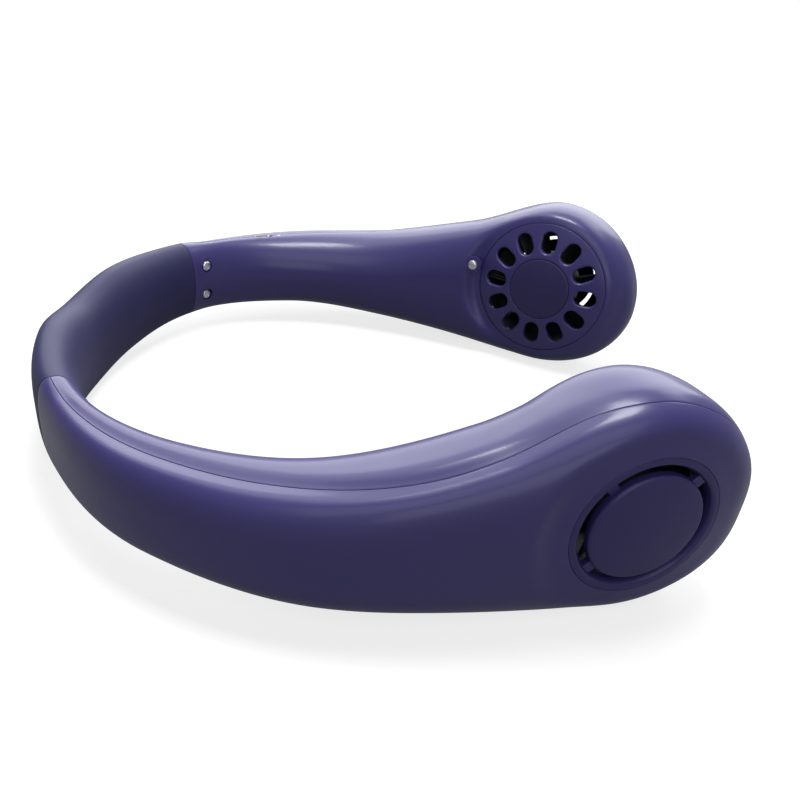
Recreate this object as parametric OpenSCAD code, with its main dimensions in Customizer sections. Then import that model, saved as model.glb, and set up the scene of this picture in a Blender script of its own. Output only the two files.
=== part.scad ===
// Neck fan: a C-shaped collar with a fan in each of its two heads.
// +X points to the open front, +Y to the wearer's left, +Z up. It lies on the plane z = 0.

/* [Outline] */
// Length of the centre line from the middle of the nape to a fan axis
arm_run = 219; // [200:1:240]
// Distance from a fan axis to the tip of its head
tip_run = 34.5; // [33.5:0.5:38]
// Bend radius of the centre line at the nape
nape_radius = 129; // [110:1:150]
// Bend radius of the centre line at the side of the neck
side_radius = 76; // [70:1:85]
// Bend radius of the centre line at the heads
front_radius = 430; // [350:10:900]
// Height of a head, and of the whole fan
head_height = 61.4; // [60:0.2:68]
// Depth of a head from its middle to its outer face
outer_depth = 17; // [16.6:0.1:19]
// Depth of a head from its middle to the face towards the neck
inner_depth = 17.1; // [16.9:0.1:20]
// How far the tip lies below the middle of its head
tip_drop = 3.7; // [0:0.1:5]
// How far the tip lies outside of the centre line
tip_shift = 1.6; // [0:0.1:5]

/* [Shells] */
// Wall of the arm shells
wall = 1.8; // [1.5:0.1:2.2]
// Gap between the two shells of an arm along their parting line
parting_gap = 0.2; // [0.1:0.05:0.4]
// Depth of the soft valley that the parting line lies in
valley_depth = 1.1; // [0.3:0.1:1.3]
// Half width of that valley
valley_width = 3; // [1.5:0.1:4]

/* [Neck band] */
// Length of the band from the middle of the nape to its end
band_run = 62.2; // [56:0.2:64]
// Gap between the band and each arm
band_gap = 0.3; // [0.2:0.05:0.5]
// Clearance of the sleeve's pocket over and under the strip
pocket_gap = 1; // [0.8:0.1:2]
// Depth of the pocket inside the sleeve
pocket_depth = 3.8; // [3.6:0.1:4.5]
// Distance from the steel strip's edge to the arm's wall
strip_margin = 3.4; // [3:0.1:5]
// Distance from the steel strip's edge to its screws
strip_edge = 2.9; // [2.6:0.1:3.1]
// Thickness of the steel strip
strip_thickness = 0.6; // [0.4:0.05:0.8]
// Diameter of a wire
wire_size = 1.2; // [0.8:0.1:1.4]
// Clearance between the outermost wires and the band screws
wire_screw_gap = 0.5; // [0.4:0.1:1]
// Length of the block that clamps the band into an arm
anchor_run = 13; // [12:0.2:16]

/* [Fan outlet] */
// Distance from the grille disc's rim to the top of the head
head_rim = 5.9; // [5.6:0.1:6.2]
// Thickness of the grille disc
grille_thickness = 2; // [1.6:0.1:2.4]
// Radius of the dome that the grille is part of
face_radius = 85; // [75:1:110]
// Number of outlet holes
hole_count = 12; // [8:1:12]
// Width of a hole
hole_width = 5.6; // [4:0.1:6]
// Distance from a hole to the cap
hole_inner_rim = 2.2; // [1.6:0.1:3]
// Distance from a hole to the grille disc's rim
hole_outer_rim = 2.9; // [2.6:0.1:4]
// Radius of the cap in the middle of the grille
cap_radius = 11.5; // [11.3:0.1:12]
// Thickness of that cap
cap_thickness = 1; // [0.8:0.05:1.1]

/* [Fan intake] */
// Distance from the intake cover's rim to the top of the head
cover_margin = 11.5; // [11:0.1:12]
// Width of the intake cover's ring
ring_width = 1.8; // [1.2:0.1:2.4]
// Width of the intake slot
slot_width = 2.6; // [1.5:0.1:3]
// How far the ring's inner wall slopes into the slot
ring_flare = 1; // [0:0.1:1.4]
// Width of the cover's flange, behind the shell
flange_width = 1.8; // [1.2:0.1:2.2]
// Radius of the dome that the cover is part of
dome_radius = 100; // [80:1:140]
// Thickness of the cover
cover_thickness = 1.6; // [1.2:0.1:2]
// Number of ribs across the slot
rib_count = 4; // [3:1:12]
// Width of a rib
rib_width = 3; // [1:0.1:4]

/* [Fan] */
// Gap between the tips of the blades and the duct
tip_gap = 0.8; // [0.5:0.1:1.5]
// Number of blades
blade_count = 7; // [5:1:9]
// Angle of a blade against the fan axis
blade_angle = 52; // [35:1:60]
// Thickness of a blade
blade_thickness = 1; // [0.7:0.1:1.4]
// Length of the rotor along its axis
rotor_length = 13; // [11:0.1:13.5]
// Outer radius of the rotor's hub
hub_radius = 12.4; // [12:0.1:13]
// Wall of the hub
hub_wall = 1.3; // [1:0.1:1.4]
// Radius of the shaft
shaft_radius = 1; // [0.8:0.05:1.2]
// Running clearance of the shaft in its bushes
shaft_clearance = 0.03; // [0.02:0.01:0.05]
// Outer radius of a bush
bush_radius = 3; // [2.6:0.1:3.2]
// Length of a bush
bush_length = 3; // [2:0.1:3.4]
// Outer radius of the stator core
core_radius = 9.2; // [8.6:0.1:9.4]
// Height of the stator core
core_height = 5; // [4:0.1:5.4]
// Thickness of the magnet ring
magnet_thickness = 1.1; // [0.8:0.1:1.2]
// Distance from the duct's bore to the grille disc's rim
duct_step = 1.9; // [1.8:0.1:2.2]
// Wall of the duct
duct_wall = 1.1; // [0.8:0.1:1.2]
// Length of the duct along the fan axis
duct_length = 15; // [12:0.5:18]

/* [Battery] */
// Part of the room between the control board and the fan that a battery takes
battery_length_share = 0.476; // [0.4:0.01:0.5]
// Clearance of a battery over and under, to the arm's wall
battery_margin = 3.1; // [3:0.1:5]
// Thickness of a battery
battery_thickness = 9; // [7:0.2:9.6]
// Thickness of the foam pad under it
pad_thickness = 1; // [0.5:0.1:1.2]
// Thickness of the tray it lies in
tray_thickness = 1.2; // [1:0.1:1.6]

/* [Controls] */
// Gap between the band's anchor and the control board
board_gap = 4.8; // [3:0.1:6]
// Length of the control board
board_length = 26; // [24:0.5:27]
// Clearance of the control board over and under, to the arm's wall
board_margin = 2.3; // [2:0.1:3]
// Thickness of the control board
board_thickness = 1; // [0.8:0.1:1.2]
// Distance of the charging port from the middle of the control board
port_place = 4.7; // [3:0.1:6]
// Width of the charging port's shell
port_width = 7.4; // [7:0.1:7.6]
// Thickness of the charging port's shell
port_thickness = 2.5; // [2.3:0.1:2.6]
// Depth of the charging port
port_depth = 5.2; // [4.6:0.1:5.6]
// Distance of the charge light from the middle of the control board
light_place = 11.3; // [10.4:0.1:12]
// Radius of the light's lens
lens_radius = 0.8; // [0.6:0.05:1]
// Distance of the button from the middle of the control board, towards the band
button_place = 5; // [4:0.5:6]
// Radius of the button
button_radius = 4; // [3.4:0.1:4.4]
// How far the button stands out of the shell
button_rise = 0.8; // [0.5:0.1:1]
// Travel of the button
button_travel = 0.5; // [0.3:0.05:0.6]

/* [Screws] */
// Radius of a screw's head
head_radius = 1.9; // [1.6:0.1:2]
// Height of a screw's head
head_rise = 1.2; // [0.8:0.1:1.4]
// Radius of a screw's shank
shank_radius = 0.9; // [0.7:0.05:1]
// Depth of the recess over a screw head
recess_depth = 1.6; // [1.5:0.1:2]
// Radius of the recess over a screw head
recess_radius = 2.3; // [2.2:0.1:2.5]
// Radius of a screw boss
boss_radius = 2.4; // [2.2:0.1:2.6]
// Distance of the two band screws past the end of the band
band_screw_run = 6.7; // [6:0.1:7]
// Distance of the grille screw from the grille disc's rim
grille_screw_gap = 4.2; // [3.8:0.1:5]
// Height of the grille screw above the middle
grille_screw_rise = 9.4; // [8:0.1:10]

/* [Hidden] */
$fn = 64;

shell_colour = "#3a3366";
soft_colour = "#34325a";
dark_colour = "#2a2748";
fit_gap = 0.1;
cut = 1;

full_turn = 360;

// Places along the arm are shares of its run; the end of the band keeps its share
band_share = 0.284;
// Where the centre line bends most
side_share = 0.41;
height_marks_share = [0, 0.12, 0.25, 0.5, 0.68, 0.84, 1];
top_shares = [0.484, 0.539, 0.542, 0.554, 0.616, 0.779, 1];
bottom_shares = [0, 0.038, 0.088, 0.099, 0.055, 0.025, 0];
depth_marks_share = [0, 0.15, 0.3, 0.5, 0.65, 0.88, 1];
outer_shares = [0.46, 0.33, 0.31, 0.62, 0.85, 0.92, 1];
inner_shares = [0.35, 0.4, 0.4, 0.72, 0.895, 0.98, 1];
outer_power = 3;
arm_inner_power = 2.2;
head_inner_power = 3;
// Lean of every section, outwards for each unit upwards
lean = 0.07;
fan_dip = atan(lean);
// Cosine of the parting line's place in the section
parting_marks_share = [0.28, 0.5, 0.62, 0.78, 0.92, 1];
parting_shares = [0.1, 0.12, 0.22, 0.42, 0.24, 0.34];
parting_tip_share = 0.5;

degrees_each_radian = 180/PI;
spine_steps = 72;
spine_step = (arm_run + tip_run)/spine_steps;

function ease(t) = let(u = min(max(t, 0), 1)) u*u*(3 - 2*u);
function mix(a, b, t) = a + (b - a)*t;

// Smooth curve through given values at given marks, level at both ends
function place_of(marks, q, i = 0) = i >= len(marks) - 2 || q < marks[i + 1] ? i : place_of(marks, q, i + 1);
function slope_of(marks, values, i) =
    i == 0 || i == len(marks) - 1 ? 0 :
    let(a = marks[i] - marks[i - 1], b = marks[i + 1] - marks[i],
        before = (values[i] - values[i - 1])/a, after = (values[i + 1] - values[i])/b)
    before*after <= 0 ? 0 : (before*b + after*a)/(a + b);
function through(marks, values, q) =
    let(i = place_of(marks, q), h = marks[i + 1] - marks[i], t = min(max((q - marks[i])/h, 0), 1))
    (1 - ease(t))*values[i] + ease(t)*values[i + 1]
    + h*t*pow(1 - t, 2)*slope_of(marks, values, i)
    - h*t*t*(1 - t)*slope_of(marks, values, i + 1);

function share_at(run) =
    abs(run) < band_run ? band_share*abs(run)/band_run :
    mix(band_share, 1, min((abs(run) - band_run)/(arm_run - band_run), 1));

// Centre line of the right arm in plan: x, y and heading at equal steps
function bend(run) =
    let(q = share_at(run))
    (1/nape_radius + (1/side_radius - 1/nape_radius)*ease(q/side_share)
     + (1/front_radius - 1/side_radius)*ease((q - side_share)/(1 - side_share)))*degrees_each_radian;
function next_spot(p, run) =
    let(turn = bend(run)*spine_step, heading = p[2] + turn/2)
    [p[0] + spine_step*cos(heading), p[1] + spine_step*sin(heading), p[2] + turn];
spine = [for (i = 0, p = [0, 0, -90]; i <= spine_steps; p = next_spot(p, (i + 0.5)*spine_step), i = i + 1) p];
function spine_at(run) =
    let(k = min(abs(run)/spine_step, spine_steps - 0.001), i = floor(k))
    mix(spine[i], spine[i + 1], k - i);
function heading_at(run) = spine_at(run)[2];

// The origin lies under the middle of the whole fan
back_x = -outer_depth*outer_shares[0];
front_x = spine_at(arm_run + tip_run)[0];
shift_x = -(back_x + front_x)/2;
function spot(run, out, up) =
    let(p = spine_at(run), side = run < 0 ? -1 : 1)
    [p[0] + out*sin(p[2]) + shift_x, side*(p[1] - out*cos(p[2])), up];

// Section of the collar at a run along the centre line
function past_axis(run) = max(0, (abs(run) - arm_run)/tip_run);
function cap_at(run) = sqrt(max(0, 1 - pow(past_axis(run), 2)));
function top_at(run) = head_height*through(height_marks_share, top_shares, share_at(run));
function bottom_at(run) = head_height*through(height_marks_share, bottom_shares, share_at(run));
function middle_at(run) = (top_at(run) + bottom_at(run))/2 - tip_drop*pow(past_axis(run), 2);
function half_at(run) = (top_at(run) - bottom_at(run))/2;
function outer_at(run) = outer_depth*through(depth_marks_share, outer_shares, share_at(run));
function inner_at(run) = inner_depth*through(depth_marks_share, inner_shares, share_at(run));

function inner_power_at(run) = mix(arm_inner_power, head_inner_power, ease((share_at(run) - 0.6)/0.4));

// Sizes inside that follow from the outline
grille_radius = head_height/2 - head_rim;
duct_radius = grille_radius - duct_step;
blade_radius = duct_radius - tip_gap;
cover_radius = head_height/2 - cover_margin;
slot_radius = cover_radius - ring_width;
flange_radius = cover_radius + flange_width;
hole_start = cap_radius + hole_inner_rim;
hole_length = max(hole_width, grille_radius - hole_outer_rim - hole_start);
hole_circle = hole_start + hole_length/2;
function room_at(run) = half_at(run) - wall;
strip_height = 2*(room_at(band_run) - strip_margin);
pocket_height = strip_height + 2*pocket_gap;
band_screw_rise = strip_height/2 - strip_edge;
wire_places_share = [-1.5, -0.5, 0.5, 1.5];
wire_pitch = (band_screw_rise - shank_radius - wire_size/2 - wire_screw_gap)/wire_places_share[3];
board_run = band_run + anchor_run + board_gap + board_length/2;
board_height = 2*(room_at(board_run) - board_margin);
port_run = board_run + port_place;
light_run = board_run + light_place;
button_run = board_run - button_place;
grille_screw_run = grille_radius + grille_screw_gap;
battery_middle_share = 0.466;
battery_room = arm_run - grille_radius - board_run - board_length/2;
battery_length = battery_length_share*battery_room;
battery_run = board_run + board_length/2 + battery_middle_share*battery_room;
battery_front = battery_run - battery_length/2;
battery_back = battery_run + battery_length/2;
battery_height = 2*(room_at(battery_front) - battery_margin);

// Point of a section, [out, up], at an angle from straight out, under a skin
function oval(run, angle, skin) =
    let(c = cos(angle), s = sin(angle),
        power = 2/(c > 0 ? outer_power : inner_power_at(run)),
        reach = ((c > 0 ? outer_at(run) : inner_at(run)) - skin)*pow(cap_at(run), 0.8),
        up = (half_at(run) - skin)*cap_at(run)*sign(s)*pow(abs(s), power))
    [reach*sign(c)*pow(abs(c), power) + lean*up + tip_shift*pow(past_axis(run), 2), up];

// The parting line and the soft valley along it
function parting_at(run) =
    acos(mix(through(parting_marks_share, parting_shares, share_at(run)), parting_tip_share, past_axis(run)));
valley_fade_share = 0.75;
valley_fade_from_share = 0.85;
function valley_at(run) =
    valley_depth*ease((abs(run) - band_run)/anchor_run)*cap_at(run)
    *(1 - valley_fade_share*ease((share_at(run) - valley_fade_from_share)/(1 - valley_fade_from_share)));
function dented(run, angle, skin) =
    let(p = oval(run, angle, skin), edge = parting_at(run),
        high = oval(run, edge, skin), low = oval(run, -edge, skin),
        gap = min(norm(p - high), norm(p - low)),
        dent = valley_at(run)*exp(-pow(gap/valley_width, 2)))
    norm(p) < wall ? p : p*(1 - dent/norm(p));

// Round the fan axis both faces turn into exact domes
fan_heading = heading_at(arm_run) - 90;
fan_axis = [cos(fan_heading)*cos(fan_dip), sin(fan_heading)*cos(fan_dip), -sin(fan_dip)];
fan_middle = spot(arm_run, 0, head_height/2);
outer_reach_share = 0.96;
outer_reach = outer_reach_share*outer_depth;
inner_reach = inner_depth;
dome_margin = 1;
dome_end = flange_radius + dome_margin;
dome_blend = 7;
face_margin = 1.2;
face_end = grille_radius + face_margin;
face_blend = 5;
function dome_at(r) = outer_reach - r*r/(2*dome_radius);
function face_at(r) = r*r/(2*face_radius) - inner_reach;
function ringed(p, outside, skin) =
    let(v = p - fan_middle, a = v*fan_axis, r = norm(v - a*fan_axis),
        goal = outside ? dome_at(r) - skin : face_at(r) + skin,
        keep = outside ? ease((r - dome_end)/dome_blend) : ease((r - face_end)/face_blend))
    (outside ? a : -a) < 0 ? p : p + fan_axis*(goal - a)*(1 - keep);

// Point of the collar's skin, or of the same skin set in by a wall
function skin_point(run, angle, skin) =
    let(p = dented(run, angle, skin),
        real = run <= arm_run ? run : arm_run + (tip_run - skin)*past_axis(run),
        place = spot(real, p[0], middle_at(run) + p[1]))
    ringed(place, cos(angle) > 0, skin);

// Runs of the sections along an arm: even steps, then closer towards the tip
arm_steps = 26;
tip_steps = 9;
arm_start = band_run + band_gap/2;
arm_runs = concat(
    [for (i = [0 : arm_steps]) mix(arm_start, arm_run, i/arm_steps)],
    [for (i = [1 : tip_steps - 1]) arm_run + tip_run*sin(90*i/tip_steps)]);
profile_shares = [0, 0.03, 0.07, 0.13, 0.21, 0.3, 0.4, 0.5, 0.6, 0.7, 0.79, 0.87, 0.93, 0.97, 1];

// A half shell: sections of one wall, from one parting line to the other, closed at the tip
function wall_angle(run, t, outside) =
    let(slack = parting_gap/2/half_at(run)*degrees_each_radian, edge = parting_at(run))
    outside ? mix(edge - slack, slack - edge, t) : mix(full_turn - edge - slack, edge + slack, t);
module half_shell(outside) {
    m = len(profile_shares);
    n = len(arm_runs);
    rings = [for (run = arm_runs) each concat(
        [for (t = profile_shares) skin_point(run, wall_angle(run, t, outside), 0)],
        [for (t = profile_shares) skin_point(run, wall_angle(run, t, outside), wall)])];
    tip = arm_run + tip_run;
    points = concat(rings, [skin_point(tip, 0, 0), skin_point(tip, 0, wall)]);
    last = (n - 1)*2*m;
    faces = concat(
        [for (k = [0 : n - 2], i = [0 : m - 2]) each let(a = k*2*m + i, b = a + 2*m)
            [[a, b + 1, a + 1], [a, b, b + 1]]],
        [for (k = [0 : n - 2], i = [0 : m - 2]) each let(a = k*2*m + m + i, b = a + 2*m)
            [[a, a + 1, b + 1], [a, b + 1, b]]],
        [for (k = [0 : n - 2]) each let(a = k*2*m, b = a + 2*m)
            [[a, b + m, b], [a, a + m, b + m],
             [a + m - 1, b + 2*m - 1, a + 2*m - 1], [a + m - 1, b + m - 1, b + 2*m - 1]]],
        [for (i = [0 : m - 2]) each [[i, i + 1, m + i + 1], [i, m + i + 1, m + i]]],
        [for (i = [0 : m - 2]) each
            [[last + i, n*2*m, last + i + 1], [last + m + i, last + m + i + 1, n*2*m + 1]]],
        [[last, n*2*m + 1, n*2*m], [last, last + m, n*2*m + 1],
         [last + m - 1, n*2*m + 1, last + 2*m - 1], [last + m - 1, n*2*m, n*2*m + 1]]);
    polyhedron(points, faces);
}

// A solid through rings of points that all have the same count
module swept(rings) {
    m = len(rings[0]);
    n = len(rings);
    polyhedron([for (ring = rings) each ring], concat(
        [[for (i = [m - 1 : -1 : 0]) i]],
        [[for (i = [0 : m - 1]) (n - 1)*m + i]],
        [for (k = [0 : n - 2], i = [0 : m - 1]) each
            let(j = (i + 1) % m, a = k*m + i, b = k*m + j)
            [[a, b + m, a + m], [a, b, b + m]]]));
}

// Frame on the centre line: X out, Y along the arm, Z up
module at_run(run, up = 0) {
    translate(spot(run, 0, middle_at(run) + up)) rotate([0, 0, heading_at(run) - 90]) children();
}
// The same with Z turned out of the collar, X down
module outwards(run, up = 0) {
    at_run(run, up) rotate([0, 90, 0]) children();
}
// Frame of the fan: Z along its axis, out of the collar
module at_fan() {
    translate(fan_middle) rotate([0, 0, fan_heading]) rotate([0, 90 + fan_dip, 0]) children();
}
// Turns the start of a round cut away from the sections' edges
seam_turn = 10;
module left() {
    mirror([0, 1, 0]) children();
}
module tube(outer, inner, height) {
    difference() {
        cylinder(r = outer, h = height);
        translate([0, 0, -cut]) cylinder(r = inner, h = height + 2*cut);
    }
}

// Soft band round the nape
sleeve_sides = 24;
sleeve_steps = 24;
pocket_power = 6;
function sleeve_loop(run) = [for (i = [0 : sleeve_sides - 1])
    let(p = oval(run, full_turn*i/sleeve_sides, 0)) spot(run, p[0], middle_at(run) + p[1])];
function pocket_loop(run) = [for (i = [0 : sleeve_sides - 1])
    let(c = cos(full_turn*i/sleeve_sides), s = sin(full_turn*i/sleeve_sides), power = 2/pocket_power)
    spot(run, pocket_depth/2*sign(c)*pow(abs(c), power) - strip_offset,
         middle_at(run) + pocket_height/2*sign(s)*pow(abs(s), power))];
strip_offset = 0.6;
module band_sleeve() {
    m = sleeve_sides;
    runs = [for (i = [0 : sleeve_steps]) mix(-1, 1, i/sleeve_steps)*(band_run - band_gap/2)];
    n = len(runs);
    points = [for (run = runs) each concat(sleeve_loop(run), pocket_loop(run))];
    faces = concat(
        [for (k = [0 : n - 2], i = [0 : m - 1]) each
            let(j = (i + 1) % m, a = 2*k*m + i, b = 2*k*m + j)
            [[a, b + 2*m, a + 2*m], [a, b, b + 2*m]]],
        [for (k = [0 : n - 2], i = [0 : m - 1]) each
            let(j = (i + 1) % m, a = 2*k*m + m + i, b = 2*k*m + m + j)
            [[a, a + 2*m, b + 2*m], [a, b + 2*m, b]]],
        [for (i = [0 : m - 1]) each let(j = (i + 1) % m) [[i, m + j, j], [i, m + i, m + j]]],
        [for (i = [0 : m - 1]) each let(j = (i + 1) % m, e = (n - 1)*2*m)
            [[e + i, e + j, e + m + j], [e + i, e + m + j, e + m + i]]]);
    color(soft_colour) polyhedron(points, faces);
}

// Spring steel strip that gives the band its shape; its ends are clamped by the band screws
strip_reach = band_run + anchor_run - band_gap;
strip_hole = shank_radius + 3*fit_gap;
strip_out = -strip_offset - wire_size/2;
module band_spring_strip() {
    w = strip_thickness/2;
    h = strip_height/2;
    color("silver") difference() {
        swept([for (i = [0 : sleeve_steps])
            let(run = mix(-strip_reach, strip_reach, i/sleeve_steps), z = middle_at(run))
            [spot(run, strip_out + w, z - h), spot(run, strip_out + w, z + h),
             spot(run, strip_out - w, z + h), spot(run, strip_out - w, z - h)]]);
        for (up = band_screw_rise*[-1, 1]) {
            outwards(band_run + band_screw_run, up)
                translate([0, 0, strip_out - cut]) cylinder(r = strip_hole, h = 2*cut);
            left() outwards(band_run + band_screw_run, up)
                translate([0, 0, strip_out - cut]) cylinder(r = strip_hole, h = 2*cut);
        }
    }
}

// A wire: six sides, along runs, at places [out, up] from the centre line
wire_sides = 6;
function wire_ring(run, out, up) = [for (i = [0 : wire_sides - 1])
    let(a = full_turn*i/wire_sides)
    spot(run, out + wire_size/2*cos(a), middle_at(run) + up + wire_size/2*sin(a))];
wire_colours = ["crimson", "black", "gold", "white"];
function wire_rise(i) = wire_places_share[i]*wire_pitch;
wire_out = strip_out + strip_thickness/2 + wire_size/2 + 2*fit_gap;
module band_wires() {
    reach = strip_reach;
    for (i = [0 : 3])
        color(wire_colours[i])
            swept([for (k = [0 : sleeve_steps])
                wire_ring(mix(-reach, reach, k/sleeve_steps), wire_out, wire_rise(i))]);
}

// Block that fills the arm's first stretch and clamps the strip
anchor_steps = 4;
anchor_sides = 20;
anchor_start = arm_start + fit_gap;
anchor_gap = 0.35;
pad_radius = recess_radius + wall/2;
module anchor_room(skin, start, end, sides) {
    swept([for (k = [0 : anchor_steps]) let(run = mix(start, end, k/anchor_steps))
        [for (i = [0 : sides - 1]) let(p = dented(run, full_turn*i/sides, skin))
            spot(run, p[0], middle_at(run) + p[1])]]);
}
module strip_room() {
    h = strip_height/2 + 3*fit_gap;
    low = strip_out - strip_thickness/2 - 2*fit_gap;
    high = wire_out + wire_size/2 + 2*fit_gap;
    swept([for (k = [0 : anchor_steps])
        let(run = mix(arm_start - cut, band_run + anchor_run + cut, k/anchor_steps), z = middle_at(run))
        [spot(run, high, z - h), spot(run, high, z + h), spot(run, low, z + h), spot(run, low, z - h)]]);
}
function screw_face(run) = -inner_at(run);
band_screw_at = band_run + band_screw_run;
pad_floor = 1.1;
pad_depth = recess_depth + pad_floor;
module band_anchor() {
    color("dimgray") difference() {
        anchor_room(wall + anchor_gap, anchor_start, band_run + anchor_run, anchor_sides);
        strip_room();
        for (up = band_screw_rise*[-1, 1]) outwards(band_screw_at, up) {
            translate([0, 0, -inner_depth]) cylinder(r = shank_radius + 2*fit_gap, h = 2*inner_depth);
            translate([0, 0, -inner_depth])
                cylinder(r = pad_radius + 2*fit_gap,
                    h = inner_depth + screw_face(band_screw_at) + pad_depth + fit_gap);
            translate([0, 0, band_boss_end - fit_gap]) cylinder(r = boss_radius + 2*fit_gap, h = inner_depth);
        }
    }
}

// Screw bosses: the inner shell carries the recess and the head, the outer shell the thread
band_boss_end = wire_out + wire_size/2 + 4*fit_gap;
grille_screw_at = arm_run - grille_screw_run;
grille_boss_end = -4;
module screw_pad(run, up) {
    outwards(run, up) translate([0, 0, screw_face(run) + wall/2])
        cylinder(r = pad_radius, h = pad_depth - wall/2);
}
module screw_recess(run, up) {
    outwards(run, up) {
        translate([0, 0, screw_face(run) - cut]) cylinder(r = recess_radius, h = cut + recess_depth);
        translate([0, 0, screw_face(run)]) cylinder(r = shank_radius + fit_gap, h = inner_depth);
    }
}
module screw_boss(run, up, end) {
    outwards(run, up) translate([0, 0, end])
        cylinder(r = boss_radius, h = outer_at(run) - wall/2 - end);
}
module screw_thread(run, up, end) {
    outwards(run, up) translate([0, 0, end - cut])
        cylinder(r = shank_radius + fit_gap/2, h = outer_at(run) - 1.4*wall - end + cut);
}
module screw(run, up, end, bite) {
    floor_at = screw_face(run) + recess_depth;
    outwards(run, up) difference() {
        union() {
            translate([0, 0, floor_at - head_rise]) cylinder(r = head_radius, h = head_rise);
            translate([0, 0, floor_at]) cylinder(r = shank_radius, h = end + bite - floor_at);
        }
        for (turn = [0, 90]) rotate([0, 0, turn])
            translate([-head_radius/2, -head_rise/5, floor_at - head_rise - cut])
                cube([head_radius, head_rise/2.5, cut + head_rise/2]);
    }
}
grille_screw_bite = 5;
module screws() {
    color("gainsboro") {
        for (up = band_screw_rise*[-1, 1])
            screw(band_screw_at, up, band_boss_end, outer_at(band_screw_at) - 1.5*wall - band_boss_end);
        screw(grille_screw_at, grille_screw_rise, grille_boss_end, grille_screw_bite);
    }
}

// Inner shell: the side towards the neck, with the round opening for the grille
module inner_shell(controls) {
    color(shell_colour) difference() {
        union() {
            half_shell(false);
            for (up = band_screw_rise*[-1, 1]) screw_pad(band_screw_at, up);
            screw_pad(grille_screw_at, grille_screw_rise);
            grille_pillar();
        }
        at_fan() rotate([0, 0, seam_turn]) translate([0, 0, -inner_reach - cut])
            cylinder(r = grille_radius + fit_gap, h = cut + inner_reach/2);
        for (up = band_screw_rise*[-1, 1]) screw_recess(band_screw_at, up);
        screw_recess(grille_screw_at, grille_screw_rise);
        if (controls) {
            port_opening();
            lens_opening();
        }
    }
}
module grille_pillar() {
    start = screw_face(grille_screw_at) + wall/2;
    outwards(grille_screw_at, grille_screw_rise)
        translate([0, 0, start]) cylinder(r = boss_radius, h = grille_boss_end - 2*fit_gap - start);
}

// Outer shell: carries the intake cover, the battery tray and, on the left, the board and the button
tray_out = 4.9;
tray_boss_run = battery_length/4;
module outer_shell(controls) {
    color(shell_colour) difference() {
        union() {
            half_shell(true);
            for (up = band_screw_rise*[-1, 1]) screw_boss(band_screw_at, up, band_boss_end);
            screw_boss(grille_screw_at, grille_screw_rise, grille_boss_end);
            for (along = tray_boss_run*[-1, 1]) at_run(battery_run) translate([tray_out, along, 0])
                rotate([0, 90, 0]) cylinder(r = boss_radius,
                    h = outer_at(battery_run + along) - fall_at(along) - wall/2 - tray_out);
            if (controls) board_bosses();
        }
        at_fan() rotate([0, 0, seam_turn]) cylinder(r = cover_radius + fit_gap, h = outer_depth + cut);
        for (up = band_screw_rise*[-1, 1]) screw_thread(band_screw_at, up, band_boss_end);
        screw_thread(grille_screw_at, grille_screw_rise, grille_boss_end);
        if (controls) button_opening();
    }
}

// Outlet grille: a domed disc with oval holes, held by a flange behind the shell
seat_rise = 0.8;
seat_inset = 0.6;
seat_radius = cap_radius - seat_inset;
seat_at = grille_thickness + seat_rise - inner_reach;
tower_wall = 1.1;
tower_radius = bush_radius + tower_wall;
collar_radius = duct_radius + duct_wall + fit_gap;
duct_seat = face_at(grille_radius) + grille_thickness + 3*fit_gap;
grille_flange = 1;
flange_low = face_at(face_end) + wall + 3*fit_gap;
face_steps = 8;
function face_line(from, to, rise) = [for (i = [0 : face_steps])
    let(r = mix(from, to, i/face_steps)) [r, face_at(r) + rise]];
module face_slice(from, to, low, high) {
    rotate_extrude() polygon(concat(
        face_line(from, to, low), [for (i = [face_steps : -1 : 0]) face_line(from, to, high)[i]]));
}
module outlet_hole() {
    straight = hole_length - hole_width;
    linear_extrude(inner_depth) {
        translate([-straight/2, -hole_width/2]) square([straight, hole_width]);
        for (side = [-1, 1]) translate([side*straight/2, 0]) circle(d = hole_width);
    }
}
module outlet_grille() {
    color(shell_colour) at_fan() difference() {
        union() {
            face_slice(0, grille_radius, 0, grille_thickness);
            translate([0, 0, cap_thickness + wall/2 - inner_reach])
                cylinder(r = seat_radius, h = seat_at + inner_reach - cap_thickness - wall/2);
            translate([0, 0, seat_at - seat_rise]) cylinder(r = tower_radius, h = tower_top - seat_at + seat_rise);
            rim_low = face_at(duct_radius) + grille_thickness/2;
            translate([0, 0, rim_low])
                tube(grille_radius, duct_radius - 2*fit_gap, duct_seat - rim_low);
            translate([0, 0, rim_low])
                tube(grille_radius, collar_radius, flange_low + grille_flange - rim_low);
            translate([0, 0, flange_low]) tube(face_end - 3*fit_gap, collar_radius, grille_flange);
        }
        face_slice(0, cap_radius + fit_gap/2, -cut, cap_thickness);
        translate([0, 0, bush_low]) cylinder(r = bush_radius + fit_gap/5, h = tower_top - bush_low + cut);
        for (i = [0 : hole_count - 1]) rotate([0, 0, i*full_turn/hole_count])
            translate([hole_circle, 0, -inner_depth - cut]) outlet_hole();
        motor_lead_room();
    }
}
bush_gap = 2.4;
module grille_cap() {
    color(dark_colour) at_fan() face_slice(0, cap_radius, 0, cap_thickness);
}

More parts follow.
